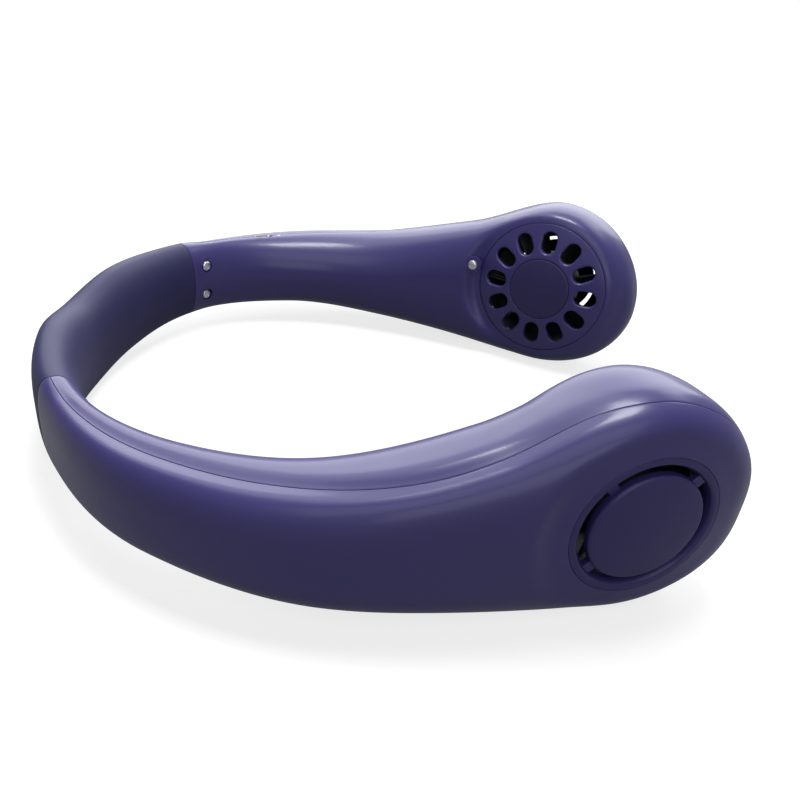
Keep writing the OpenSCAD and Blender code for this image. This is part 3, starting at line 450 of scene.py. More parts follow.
def moved(parts, matrix):
    """Points and faces carried by a matrix whose lengths are millimetres."""
    points, faces = parts
    m = np.array(matrix)
    return np.asarray(points, float) @ m[:3, :3].T + m[:3, 3], faces


fan_matrix = (Matrix.Translation(fan_middle) @ Matrix.Rotation(fan_heading, 4, "Z")
              @ Matrix.Rotation(math.pi / 2 + fan_dip, 4, "Y"))


def run_matrix(run, up=0.0):
    """Frame on the centre line: X out, Y along the arm, Z up."""
    place = spot(run, 0, float(middle_at(run)) + up)
    return Matrix.Translation(place) @ Matrix.Rotation(heading_at(run) - math.pi / 2, 4, "Z")


def outward_matrix(run, up=0.0):
    """Frame on the centre line with Z out and X down."""
    return run_matrix(run, up) @ Matrix.Rotation(math.pi / 2, 4, "Y")


def in_fan(side, parts):
    """Parts made round Z, carried to the fan of one side."""
    return on_side(side, moved(parts, fan_matrix))


def cylinder(radius, low, high, turns=64):
    return lathe(np.array([(0, low), (radius, low), (radius, high), (0, high)], float), turns)


def level(outline, z):
    """Flat outline lifted to a height."""
    return np.column_stack([outline, np.full(len(outline), z)])


def prism(outline, low, high):
    return loops_mesh([level(outline, low), level(outline, high)])


def carve(obj, parts, operation):
    """Cuts parts out of a mesh, or adds them to it."""
    tool = make_mesh("tool", *joined(parts))
    modifier = obj.modifiers.new("cut", "BOOLEAN")
    modifier.operation = operation
    modifier.solver = "EXACT"
    modifier.object = tool
    graph = bpy.context.evaluated_depsgraph_get()
    obj.data = bpy.data.meshes.new_from_object(obj.evaluated_get(graph))
    obj.modifiers.clear()
    bpy.data.objects.remove(tool)


def soften_rim(obj, matrix, radius, width, z_range, side):
    """Rounds the rim that a round cut leaves in the skin: short edges are welded, then bevelled."""
    rim_reach = 0.02 * MM
    slanted = (0.31, 0.2, 0.93)  # along none of the axes of these cuts
    m = np.array(matrix)
    if side > 0:
        m = np.diag([1.0, -1.0, 1.0, 1.0]) @ m
    centre, axis = m[:3, 3] * MM, m[:3, 2]
    bm = bmesh.new()
    bm.from_mesh(obj.data)
    co = np.array([v.co for v in bm.verts]) - centre
    z = co @ axis
    r = np.linalg.norm(co - z[:, None] * axis, axis=1)
    near = (z > z_range[0] * MM) & (z < z_range[1] * MM)
    bm.verts.ensure_lookup_table()
    on_rim = [bm.verts[i] for i in np.nonzero(near & (np.abs(r - radius * MM) < rim_reach))[0]]
    side_vector = Vector(np.cross(axis, slanted)).normalized()
    other = Vector(axis).cross(side_vector)

    def turn_of(v):
        reach = v.co - Vector(centre)
        return math.atan2(reach.dot(other), reach.dot(side_vector))

    on_rim.sort(key=turn_of)
    target = {}
    kept = []
    for v in on_rim:
        if kept and (v.co - kept[-1].co).length < width * MM:
            target[v] = kept[-1]
        else:
            kept.append(v)
    rim = set(on_rim)
    for v in kept:
        for e in v.link_edges:
            w = e.other_vert(v)
            if w not in rim and w not in target and (w.co - v.co).length < 2 * width * MM:
                target[w] = v
    bmesh.ops.weld_verts(bm, targetmap=target)
    bmesh.ops.dissolve_degenerate(bm, dist=1e-7, edges=bm.edges)
    chosen = set(v for v in kept if v.is_valid)
    edges = [e for e in bm.edges if e.verts[0] in chosen and e.verts[1] in chosen
             and e.is_manifold and e.calc_face_angle(0) > sharp_rim]
    bmesh.ops.bevel(bm, geom=edges, offset=width * MM, segments=rim_segments, profile=0.5,
                    affect="EDGES", clamp_overlap=True)
    bm.to_mesh(obj.data)
    bm.free()


# Half shells of an arm: sections of one wall, with small rounded lips along the parting line
arm_sections = 110
tip_sections = 29
profile_points = 61
edge_crowding = 0.55
arm_start = band_run + seam_gap / 2
lip_turns = np.radians([0, 22.5, 45, 67.5, 90])
lip_in = lip * (1 - np.cos(lip_turns))
lip_skin = lip * (1 - np.sin(lip_turns))
shell_runs = np.concatenate([arm_start + lip_in[:-1],
                             np.linspace(arm_start + lip, arm_run, arm_sections),
                             arm_run + tip_run * np.sin(np.linspace(0, math.pi / 2, tip_sections + 1)[1:])])
start_skin = np.concatenate([lip_skin[:-1], np.zeros(arm_sections + tip_sections)])
even_shares = np.linspace(0, 1, profile_points)
profile_shares = mix(even_shares, ease(even_shares), edge_crowding)


def half_shell(outside):
    """Points and faces of a half shell on the wearer's right: its face, its back and its edges."""
    run = shell_runs[:, None]
    half = np.maximum(half_at(run), 1)
    edge = parting_at(run)

    def angles(inset, share):
        slack = (skin_gap / 2 + inset) / half
        first, last = (edge - slack, slack - edge) if outside else (2 * math.pi - edge - slack, edge + slack)
        return mix(first, last, share)

    # The first and last profile points are left out, because the lips end on them
    flat = profile_shares[1:-1]
    inset = np.concatenate([lip_in, np.full(len(flat), lip), lip_in[::-1]])
    share = np.concatenate([np.zeros(len(lip_in)), flat, np.ones(len(lip_in))])
    skin = np.concatenate([lip_skin, np.zeros(len(flat)), lip_skin[::-1]])
    face = skin_point(run, angles(inset, share), np.maximum(skin, start_skin[:, None]))
    back = skin_point(run, angles(0, share), wall)
    n, m = face.shape[:2]
    points = np.concatenate([face, back], 1).reshape(-1, 3)
    faces = []
    for k in range(n - 1):
        a, b = k * 2 * m, (k + 1) * 2 * m
        faces += [[a + i, b + i, b + i + 1, a + i + 1] for i in range(m - 1)]
        faces += [[a + m + i, a + m + i + 1, b + m + i + 1, b + m + i] for i in range(m - 1)]
        faces += [[a, a + m, b + m, b], [a + m - 1, b + m - 1, b + 2 * m - 1, a + 2 * m - 1]]
    faces += [[i, i + 1, m + i + 1, m + i] for i in range(m - 1)]
    e = (n - 1) * 2 * m
    faces += [[e + i, e + m + i, e + m + i + 1, e + i + 1] for i in range(m - 1)]
    return points, faces


grille_screw_at = arm_run - grille_screw_run
band_screw_at = band_run + band_screw_run
screw_spots = [(band_screw_at, -band_screw_rise), (band_screw_at, band_screw_rise),
               (grille_screw_at, grille_screw_rise)]
pad_radius = recess_radius + wall / 2
pad_depth = recess_depth + pad_floor
pad_sink = 0.9 * wall
recess_rim_depth = 0.8 * wall
lip_width = 0.15
recess_lip_width = 0.2
grille_lip_width = 0.25
grille_turns = 200
cover_turns = 160
button_turns = 96
lens_turns = 32


def port_outline(grow, steps=16):
    """Flat round-ended outline of the charging port, with its length along the arm."""
    half, radius = (port_width - port_thickness) / 2, port_thickness / 2 + grow
    turn = np.linspace(0, math.pi, steps)
    right = np.stack([radius * np.cos(turn), half + radius * np.sin(turn)], -1)
    return np.concatenate([right, -right])


port_matrix = run_matrix(board_run) @ Matrix.Translation(
    (board_out - port_thickness / 2, port_run - board_run,
     float(middle_at(port_run) - middle_at(board_run) + half_at(port_run)) - port_sink - port_depth))
light_matrix = run_matrix(light_run) @ Matrix.Translation((board_out - port_thickness / 2, 0, 0))
light_top = float(half_at(light_run))
button_matrix = (run_matrix(board_run) @ Matrix.Translation((board_out, button_run - board_run, button_up))
                 @ Matrix.Rotation(math.pi / 2, 4, "Y"))
plunger_top = board_thickness + switch_height + plunger_rise
button_face = float(outer_at(button_run)) - board_out + button_rise
flange_top = float(outer_at(button_run)) - board_out - wall - button_travel
button_slant = math.atan(float(outer_at(button_run + button_radius) - outer_at(button_run - button_radius))
                         / (2 * button_radius))


def arm_shell(side, outside):
    """One half shell of an arm; side is -1 on the wearer's right and 1 on the left."""
    name = ("left_" if side > 0 else "right_") + ("outer" if outside else "inner") + "_skin"
    shell = make_mesh(name, *on_side(side, half_shell(outside)), weld=wide_weld)
    if outside:
        opening = cover_radius + fit_gap
        cuts = [moved(cylinder(opening, 0, outer_depth + cut, cover_turns), fan_matrix)]
        rims = [(fan_matrix, opening, lip_width, (outer_depth / 2, 2 * outer_depth))]
        if side > 0:
            opening = button_radius + fit_gap
            cuts.append(moved(cylinder(opening, 0, outer_depth, button_turns), button_matrix))
            rims.append((button_matrix, opening, lip_width,
                         (float(outer_at(button_run)) - wall - board_out, outer_depth)))
    else:
        pads = []
        opening = grille_radius + fit_gap
        cuts = [moved(cylinder(opening, -inner_depth - cut, -inner_depth / 2, grille_turns), fan_matrix)]
        rims = [(fan_matrix, opening, grille_lip_width,
                 (-2 * inner_depth, face_at(grille_radius) + wall / 2))]
        for run, up in screw_spots:
            face, place = -float(inner_at(run)), outward_matrix(run, up)
            pads.append(moved(cylinder(pad_radius, face + pad_sink, face + pad_depth), place))
            cuts.append(moved(cylinder(recess_radius, face - cut, face + recess_depth), place))
            rims.append((place, recess_radius, recess_lip_width, (face - cut, face + recess_rim_depth)))
        carve(shell, [on_side(side, p) for p in pads], "UNION")
        if side > 0:
            cuts.append(moved(prism(port_outline(port_room), cut, port_depth + 3 * cut), port_matrix))
            low, high = light_top - 2 * wall, light_top + cut
            cuts.append(moved(cylinder(lens_radius + fit_gap / 2, low, high, lens_turns), light_matrix))
    carve(shell, [on_side(side, p) for p in cuts], "DIFFERENCE")
    for matrix, radius, width, z_range in rims:
        soften_rim(shell, matrix, radius, width, z_range, side)
    return smooth(shell)


# Outlet grille: a domed plate whose mesh runs round each of its holes
hole_lip = 0.75
cap_lip = 0.45
edge_round = 0.35
sector = 2 * math.pi / hole_count
band_inner = cap_radius + 0.9
band_outer = grille_radius - 1.5
cap_seat = cap_radius + 0.05
cap_middle = cap_radius * 0.5
arc_points = 8
side_points = 9
flat_steps = (0.25, 0.5, 0.75, 1)
back_steps = (0, 0.5)


def quarter_round(radius):
    """Steps of a rounded edge, across and down."""
    return [(radius * (1 - math.sin(a)), radius * (1 - math.cos(a)))
            for a in np.radians(np.linspace(0, 90, 6))]


def hole_edge(direction):
    """Distance from a hole's middle to its edge, in a direction from the radius."""
    straight, radius = (hole_length - hole_width) / 2, hole_width / 2
    c, s = abs(math.cos(direction)), abs(math.sin(direction))
    if s > 1e-9 and radius / s * c <= straight:
        return radius / s
    return straight * c + math.sqrt(max(0, radius ** 2 - (straight * s) ** 2))


def sector_edge():
    """Outline of one hole's share of the plate, as r and angle."""
    half = sector / 2
    across = np.linspace(-half, half, arc_points + 1)
    along = np.linspace(band_inner, band_outer, side_points + 1)
    return ([(band_outer, a) for a in across[:-1]] + [(r, half) for r in along[::-1][:-1]]
            + [(band_inner, a) for a in across[::-1][:-1]] + [(r, -half) for r in along[:-1]])


def grille_plate():
    """Closed plate: its face, its holes with rounded lips, its back and its rim."""
    edge = [(r * math.cos(a), r * math.sin(a)) for r, a in sector_edge()]
    lips = [(down, across) for across, down in quarter_round(hole_lip)]
    count = len(edge)
    rings = []
    for x, y in edge:
        direction = math.atan2(y, x - hole_circle)
        distance = hole_edge(direction)
        ray = np.array([math.cos(direction), math.sin(direction)])
        full = math.hypot(x - hole_circle, y)
        line = [(distance, grille_thickness)] + [(distance + d, s) for d, s in lips]
        line += [(mix(distance + hole_lip, full, t), 0.0) for t in flat_steps]
        line += [(mix(full, distance, t), grille_thickness) for t in back_steps]
        rings.append([(hole_circle + d * ray[0], d * ray[1], s) for d, s in line])
    m = len(rings[0])
    front = 1 + len(lips) + len(flat_steps)
    parts = []
    for i in range(hole_count):
        turn = i * sector
        c, s = math.cos(turn), math.sin(turn)
        points = [(x * c - y * s, x * s + y * c, face_at(math.hypot(x, y)) + z)
                  for ring in rings for x, y, z in ring]
        quads = []
        for j in range(count):
            a, b = j * m, (j + 1) % count * m
            quads += [[a + k, b + k, b + k + 1, a + k + 1] for k in range(m - 1) if k != front - 1]
            quads.append([a + m - 1, b + m - 1, b, a])
        parts.append((points, quads))
    angles = [(i + j / arc_points) * sector for i in range(hole_count) for j in range(arc_points)]

    def turned(outline):
        rows = [[(r * math.cos(a), r * math.sin(a), face_at(r) + z) for r, z in outline] for a in angles]
        return np.array(rows).reshape(-1, 3), grid(len(angles), len(outline), True, False)

    hub = [(band_inner, 0.0)]
    hub += [(cap_seat + across, down) for across, down in quarter_round(cap_lip)]
    hub += [(cap_seat, cap_thickness), (cap_middle, cap_thickness), (0.0, cap_thickness)]
    under = [(0.0, grille_thickness), (cap_middle, grille_thickness), (band_inner, grille_thickness)]
    outer = [(band_outer, 0.0), (grille_radius - edge_round - 0.3, 0.0)]
    outer += [(grille_radius - across, down) for across, down in quarter_round(edge_round)]
    outer += [(grille_radius, grille_thickness), (band_outer, grille_thickness)]
    parts += [turned(hub), turned(under), turned(outer)]
    return joined(parts)


seat_at = grille_thickness + seat_rise - inner_depth
stator_at = seat_at + motor_board_thickness + stator_gap
tower_top = stator_at + stator_height + tower_rise
collar_radius = duct_radius + duct_wall + fit_gap
duct_seat = face_at(grille_radius) + grille_thickness + 3 * fit_gap
flange_low = face_at(face_end) + wall + 3 * fit_gap


def outlet_grille():
    """The plate with the motor's tower and the duct's collar on its back."""
    rim_low = face_at(duct_radius) + grille_thickness / 2
    bore, foot, seat_edge = bush_radius + 0.02, seat_at - seat_rise, cap_radius - 0.6
    tower = [(bore, tower_top), (bore, foot), (tower_radius + 3, foot), (seat_edge, foot),
             (seat_edge, seat_at), (tower_radius, seat_at), (tower_radius, tower_top)]
    collar = [(collar_radius, duct_seat), (duct_radius - 2 * fit_gap, duct_seat),
              (duct_radius - 2 * fit_gap, rim_low + cut), (grille_radius - fit_gap, rim_low + cut),
              (grille_radius - fit_gap, flange_low), (face_end - 3 * fit_gap, flange_low),
              (face_end - 3 * fit_gap, flange_low + 1), (collar_radius, flange_low + 1)]
    return joined([grille_plate(), lathe(rounded(tower, 0.2), 64), lathe(rounded(collar, 0.15))])


def grille_cap():
    """Plain cap with a rounded edge."""
    edge, bevel = 0.3, 0.08
    rim = face_at(cap_radius)
    top = [(r, face_at(r)) for r in np.linspace(0, cap_radius - edge, 20)]
    top += [(cap_radius - bevel, rim + bevel), (cap_radius, rim + edge)]
    back = [(cap_radius, rim + cap_thickness), (0.0, face_at(0) + cap_thickness)]
    return lathe(np.array(top + back))


def intake_cover():
    """Domed disc, ribs, and the ring with its rounded lip."""
    disc, turn_in, fall = slot_radius - slot_width, 0.9, 0.13
    shoulder = disc - turn_in
    dome = [(r, dome_at(r)) for r in np.linspace(0, shoulder, 14)]
    dome += [(shoulder + turn_in * math.sin(a),
              dome_at(shoulder) - turn_in * (1 - math.cos(a)) - fall * math.sin(a))
             for a in np.radians(np.linspace(0, 90, 7))[1:]]
    under, skirt = dome_at(disc) - cover_thickness, 0.5
    dome += [(disc, under - skirt), (disc - 1.2, under - skirt), (disc - 2, under),
             (0, dome_at(0) - cover_thickness)]
    flange_at = float(dome_at(flange_radius)) - wall - 2 * fit_gap
    foot = flange_at - cover_thickness
    wall_radius = slot_radius - ring_flare
    ring = [(wall_radius, foot), (flange_radius, foot), (flange_radius, flange_at),
            (cover_radius, flange_at, 0), (cover_radius, dome_at(cover_radius), 0.12),
            (slot_radius, dome_at(slot_radius), 0.9),
            (wall_radius, dome_at(slot_radius) - 2 * ring_flare, 0.8)]
    parts = [lathe(np.array(dome), cover_turns), lathe(rounded(ring, 0.2, 6), cover_turns)]
    top = float(dome_at(slot_radius)) - 1
    half = rib_width / 2
    outline = rounded([(-half, top - 2), (half, top - 2), (half, top, 0.5), (-half, top, 0.5)], 0.2)
    rib = loops_mesh([np.column_stack([np.full(len(outline), r), outline])
                      for r in (disc - 2.4, slot_radius + half)])
    for i in range(rib_count):
        parts.append(moved(rib, Matrix.Rotation((i + 0.5) * 2 * math.pi / rib_count, 4, "Z")))
    return joined(parts)


rotor_low = stator_at - fit_gap
rotor_top = rotor_low + rotor_length
lead_low = duct_seat + 0.45 + fit_gap
lead_size = 0.9
blade_low = lead_low + lead_size
blade_top = rotor_top - fit_gap
magnet_inner = hub_radius - hub_wall


def blade():
    """A thin curved blade, with a finer pitch towards its tip."""
    root_thickness, tip_thickness, edge_thinning, bow, height_share = 1.1, 0.8, 0.65, 1.1, 0.97
    height = blade_top - blade_low
    middle = (blade_top + blade_low) / 2
    rings = []
    for r in np.linspace(hub_radius - 0.6, blade_radius - 0.1, 9):
        share = (r - hub_radius) / (blade_radius - hub_radius)
        slope = math.radians(blade_angle + 4 - blade_twist * share)
        chord = np.linspace(-1, 1, 13)
        thick = 0.5 * (1 - edge_thinning * chord ** 2) ** 0.5 * mix(root_thickness, tip_thickness, share)
        z = chord * height / 2 * height_share
        y = -chord * height / 2 / math.tan(slope) + bow * (1 - chord ** 2)
        front = np.stack([y - thick, z], -1)
        back = np.stack([y + thick, z], -1)[::-1]
        loop = np.concatenate([front, back])
        x = np.sqrt(np.maximum(r * r - loop[:, 0] ** 2, 0))
        rings.append(np.column_stack([x, loop[:, 0], loop[:, 1] + middle]))
    return loops_mesh(rings)


def fan_rotor():
    """Hub cup with its blades."""
    hub = [(magnet_inner, rotor_low), (hub_radius, rotor_low, 0.3), (hub_radius, rotor_top, 1.2),
           (0.0, rotor_top, 0), (0.0, rotor_top - hub_wall, 0), (magnet_inner, rotor_top - hub_wall, 0.4)]
    parts = [lathe(rounded(hub, 0.2))]
    for i in range(blade_count):
        parts.append(moved(blade(), Matrix.Rotation(i * 2 * math.pi / blade_count, 4, "Z")))
    return joined(parts)


def screws():
    """Pan-head screws with a crossed recess, sunk in the inner shell."""
    parts = []
    for run, up in screw_spots:
        floor = -float(inner_at(run)) + recess_depth
        top = floor - head_rise
        outline = [(0.0, top - 0.05), (head_radius * 0.55, top), (head_radius * 0.9, top + 0.3),
                   (head_radius, top + 0.65), (head_radius, floor), (shank_radius, floor),
                   (shank_radius, floor + shank_length), (0.0, floor + shank_length)]
        parts.append(moved(lathe(np.array(outline), 48), outward_matrix(run, up)))
    return joined(parts)


def screw_crosses():
    """Crossed recesses of the screws, each one prism with twelve corners."""
    long_side, short_side, depth, turned_by = 1.05, 0.26, 0.55, 0.5
    corner = np.array([(long_side, short_side), (short_side, short_side), (short_side, long_side)])
    outline = np.concatenate([corner @ np.array([[math.cos(a), math.sin(a)], [-math.sin(a), math.cos(a)]])
                              for a in (0, math.pi / 2, math.pi, 3 * math.pi / 2)])
    cuts = []
    for run, up in screw_spots:
        top = -float(inner_at(run)) + recess_depth - head_rise
        cuts.append(moved(prism(outline, top - cut, top + depth),
                          outward_matrix(run, up) @ Matrix.Rotation(turned_by, 4, "Z")))
    return cuts


# Band: made in two halves that meet at the middle
def sleeve_half(side):
    """Half of the sleeve with its pocket and a rounded rim where it meets the arm."""
    rim, sections, sleeve_turns = 0.2, 64, 96
    runs = np.linspace(0, band_run - seam_gap / 2 - rim, sections)
    arc = np.radians(np.linspace(0, 90, 5))[1:]
    runs = np.concatenate([runs, runs[-1] + rim * np.sin(arc)])[:, None] * side
    skins = np.concatenate([np.zeros(sections), rim * (1 - np.cos(arc))])[:, None]
    turn = np.linspace(0, 2 * math.pi, sleeve_turns, endpoint=False)
    p = oval(runs, turn, skins)
    outside = spot(runs, p[..., 0], middle_at(runs) + p[..., 1])
    c, s = np.cos(turn), np.sin(turn)
    out = pocket_depth / 2 * np.sign(c) * np.abs(c) ** (2 / pocket_power) - strip_offset
    up = pocket_height / 2 * np.sign(s) * np.abs(s) ** (2 / pocket_power)
    inside = spot(runs, out, middle_at(runs) + up)
    n, m = outside.shape[:2]
    points = np.concatenate([outside, inside], 1).reshape(-1, 3)
    faces = []
    for i in range(m):
        j = (i + 1) % m
        for k in range(n - 1):
            a, b = 2 * k * m, 2 * (k + 1) * m
            faces += [[a + i, a + j, b + j, b + i], [a + m + i, b + m + i, b + m + j, a + m + j]]
        e = 2 * (n - 1) * m
        faces += [[i, m + i, m + j, j], [e + i, e + j, e + m + j, e + m + i]]
    return points, faces


strip_reach = band_run + anchor_run - 3 * fit_gap
strip_out = -strip_offset - wire_size / 2
wire_out = strip_out + strip_thickness / 2 + wire_size / 2 + 2 * fit_gap


def strip_half(side):
    """Half of the spring strip."""
    sections = 40
    run = np.linspace(0, strip_reach, sections)[:, None] * side
    w, h = strip_thickness / 2, strip_height / 2
    outline = rounded([(w, -h), (w, h), (-w, h), (-w, -h)], 0.15, 2)
    return loops_mesh(spot(run, strip_out + outline[:, 0], middle_at(run) + outline[:, 1]))


def wire_half(side, rise):
    """Half of one of the band's wires."""
    sections, wire_turns = 48, 14
    run = np.linspace(0, strip_reach, sections)[:, None] * side
    turn = np.linspace(0, 2 * math.pi, wire_turns, endpoint=False)
    return loops_mesh(spot(run, wire_out + wire_size / 2 * np.cos(turn),
                           middle_at(run) + rise + wire_size / 2 * np.sin(turn)))


def power_button():
    """Button with a dished face, a rounded rim, its flange behind the shell and its stem."""
    flange, flange_edge, stem = 0.7, button_radius + 0.8, plunger_radius + 0.3
    dish = [(0.0, button_face - 0.35), (button_radius * 0.4, button_face - 0.32),
            (button_radius * 0.68, button_face - 0.16)]
    rim = [(button_radius - 0.55, button_face), (button_radius - 0.3, button_face - 0.04),
           (button_radius - 0.08, button_face - 0.22), (button_radius, button_face - 0.5)]
    back = [(button_radius, flange_top), (flange_edge - 0.1, flange_top), (flange_edge, flange_top - 0.1),
            (flange_edge, flange_top - flange), (stem, flange_top - flange),
            (stem, plunger_top), (0.0, plunger_top)]
    points, faces = lathe(np.array(dish + rim + back), button_turns)
    rise = math.tan(button_slant)
    points[:, 2] += points[:, 1] * rise * ease((points[:, 2] - flange_top) / (button_face - 0.5 - flange_top))
    return points, faces


def light_lens():
    """Small lens with a domed end."""
    reach_in, sunk, dome_rise = 1.4, 0.15, 0.25
    low, top = light_top - wall - reach_in, light_top - sunk
    dome = [(lens_radius * math.sin(a), top - dome_rise * (1 - math.cos(a)))
            for a in np.linspace(0, math.pi / 2, 8)]
    return lathe(np.array(dome + [(lens_radius, low), (0.0, low)]), lens_turns)


def port_shell():
    """Drawn steel shell of the charging port with a rolled rim, closed at its foot."""
    skin, foot = 0.3, 0.6
    levels = [(0.0, 0.0), (0.0, port_depth - 0.12), (0.03, port_depth - 0.03), (0.11, port_depth),
              (0.2, port_depth - 0.05), (skin, port_depth - 0.25), (skin, foot)]
    return loops_mesh([level(port_outline(-inset), z) for inset, z in levels])


tongue_side = port_thickness / 8


def port_tongue():
    """Tongue in the middle of the port, with its end drawn in."""
    x, y = tongue_side, port_width / 4
    outline = rounded([(x, -y), (x, y), (-x, y), (-x, -y)], 0.12)
    low, high = 0.55, port_depth - 0.7
    return loops_mesh([level(outline * share, z) for share, z in
                       ((1, low), (1, high - 0.15), (0.9, high - 0.04), (0.75, high))])


def port_contacts():
    """Five gilt contact strips along the tongue."""
    pitch, half_width, sunk, proud = 0.65, 0.15, 0.02, 0.06
    return joined([box((tongue_side - sunk, pitch * i - half_width, 0.6),
                       (tongue_side + proud, pitch * i + half_width, port_depth - 1))
                   for i in range(-2, 3)])


class Value:
    """A socket that can be added and multiplied; each operation adds its Math node."""

    def __init__(self, nodes, socket):
        self.nodes, self.socket = nodes, socket

    def reckon(self, operation, other):
        return self.nodes.node("ShaderNodeMath", {"operation": operation}, {0: self, 1: other})

    def __add__(self, other):
        return self.reckon("ADD", other)

    def __mul__(self, other):
        return self.reckon("MULTIPLY", other)


class Nodes:
    """The node tree of a material or of the world."""

    def __init__(self, tree):
        self.tree = tree

    def link(self, value, socket):
        if isinstance(value, Value):
            self.tree.links.new(value.socket, socket)
        else:
            socket.default_value = value

    def node(self, kind, settings=None, sockets=None, out=0):
        made = self.tree.nodes.new(kind)
        for key, value in (settings or {}).items():
            setattr(made, key, value)
        for key, value in (sockets or {}).items():
            self.link(value, made.inputs[key])
        return Value(self, made.outputs[out])

    def between(self, factor, a, b):
        """Colour that runs from a to b with a factor."""
        return self.node("ShaderNodeMix", {"data_type": "RGBA"}, {"Factor": factor, 6: a, 7: b}, out=2)

    def seen(self):
        """1 for what the camera sees, also through clear plastic; mirror_share for what mirrors show."""
        camera, glossy, transmission = (self.node("ShaderNodeLightPath", out=f"Is {name} Ray")
                                        for name in ("Camera", "Glossy", "Transmission"))
        return camera + glossy * mirror_share + transmission


class Paint(Nodes):
    """One material: a shader and the nodes that vary it."""

    def __init__(self, name, **shader):
        self.material = bpy.data.materials.new(name)
        self.material.use_nodes = True
        super().__init__(self.material.node_tree)
        self.shader = self.tree.nodes["Principled BSDF"]
        for socket, value in shader.items():
            self.set(socket.replace("_", " ").title().replace("Ior", "IOR"), value)
        self.place = self.node("ShaderNodeTexCoord", out="Object")

    def set(self, socket, value):
        self.link(value, self.shader.inputs[socket])

    def noise(self, size, detail=2, roughness=0.5):
        """Noise whose grain is about size millimetres, from 0 to 1."""
        return self.node("ShaderNodeTexNoise", {}, {"Vector": self.place, "Scale": 1 / (size * MM),
                                                     "Detail": detail, "Roughness": roughness})

    def bump(self, height, strength, distance):
        self.set("Normal", self.node("ShaderNodeBump", {}, {"Height": height, "Strength": strength,
                                                             "Distance": distance * MM}))


def shade(code, level=1.0):
    """Linear colour from a hex code, a little lighter or darker."""
    made = []
    for i in (0, 2, 4):
        c = int(code[i:i + 2], 16) / 255
        made.append((c / 12.92 if c <= 0.04045 else ((c + 0.055) / 1.055) ** 2.4) * level)
    return (*made, 1)


def moulded_plastic(name, colour, roughness=0.42, coat=0.45, grain=0.35):
    """Fine satin plastic: faint cloudiness in the colour, a matt spark grain and soft rubbed places."""
    paint = Paint(name, specular_ior_level=0.5, coat_roughness=0.19)
    clouds = paint.noise(26, 3)
    speckle = paint.noise(0.9, 2)
    tint = clouds * 0.6 + speckle * 0.2
    paint.set("Base Color", paint.between(tint, shade(colour, 0.9), shade(colour, 1.1)))
    rubbed = paint.noise(9, 4, 0.6)
    paint.set("Roughness", rubbed * 0.1 + (roughness - 0.05))
    paint.set("Coat Weight", coat)
    paint.bump(paint.noise(grain, 3, 0.6), 0.12, 0.02)
    return paint.material


def soft_rubber(name, colour):
    """Dull silicone: powdery surface with faint handling marks."""
    paint = Paint(name, specular_ior_level=0.42)
    clouds = paint.noise(18, 4, 0.6)
    dust = paint.noise(1.6, 3)
    tint = clouds * 0.7 + dust * 0.3
    paint.set("Base Color", paint.between(tint, shade(colour, 0.86), shade(colour, 1.12)))
    paint.set("Roughness", clouds * 0.14 + dust * 0.06 + 0.42)
    paint.bump(paint.noise(0.5, 3, 0.65), 0.18, 0.03)
    return paint.material


def metal(name, colour, roughness=0.25, grain=0.25):
    """Drawn or turned metal with fine scratches and a little tarnish."""
    paint = Paint(name, metallic=1.0)
    tarnish = paint.noise(3, 4, 0.6)
    paint.set("Base Color", paint.between(tarnish, shade(colour, 0.82), shade(colour, 1.06)))
    paint.set("Roughness", tarnish * 0.15 + roughness)
    paint.bump(paint.noise(grain, 2), 0.1, 0.01)
    return paint.material


def varnished_board(name):
    """Green board: lighter tracks under the varnish and bright pads in rows."""
    paint = Paint(name, roughness=0.3, coat_weight=0.4)
    tracks = paint.node("ShaderNodeTexBrick", {"offset": 0.5},
                        {"Vector": paint.place, "Scale": 420.0, "Mortar Size": 0.03,
                         "Color1": shade("1d5a3a"), "Color2": shade("236a45"), "Mortar": shade("3d8a5c")})
    paint.set("Base Color", tracks)
    paint.set("Roughness", paint.noise(2, 3) * 0.2 + 0.22)
    paint.bump(paint.noise(0.8, 2), 0.1, 0.02)
    return paint.material


def enamelled_wire(name):
    """Copper winding: fine turns side by side under enamel."""
    paint = Paint(name, metallic=0.9)
    turns_over = paint.node("ShaderNodeTexWave", {"wave_type": "BANDS"},
                            {"Vector": paint.place, "Scale": 900.0, "Distortion": 1.5, "Detail": 2.0}, out=1)
    paint.set("Base Color", paint.between(turns_over, shade("8a4a1e"), shade("d58b4a")))
    paint.set("Roughness", turns_over * 0.15 + 0.25)
    paint.bump(turns_over, 0.4, 0.05)
    return paint.material


def foil_pouch(name):
    """Battery foil: slightly crumpled silver with dull patches."""
    paint = Paint(name, metallic=0.75)
    crumple = paint.noise(7, 4, 0.55)
    paint.set("Base Color", paint.between(crumple, shade("8d9298"), shade("b9bdc2")))
    paint.set("Roughness", crumple * 0.2 + 0.28)
    paint.bump(crumple, 0.3, 0.2)
    return paint.material


def open_foam(name):
    paint = Paint(name, roughness=0.95)
    cells = paint.node("ShaderNodeTexVoronoi", {}, {"Vector": paint.place, "Scale": 1800.0})
    paint.set("Base Color", paint.between(cells, shade("15151a"), shade("3a3a42")))
    paint.bump(cells, 0.7, 0.2)
    return paint.material


def wire_cover(name, colour):
    """Thin glossy insulation with slight smudges."""
    paint = Paint(name)
    smudge = paint.noise(3, 3)
    paint.set("Base Color", paint.between(smudge, shade(colour, 0.85), shade(colour, 1.1)))
    paint.set("Roughness", smudge * 0.15 + 0.3)
    paint.bump(paint.noise(0.6, 2), 0.1, 0.02)
    return paint.material


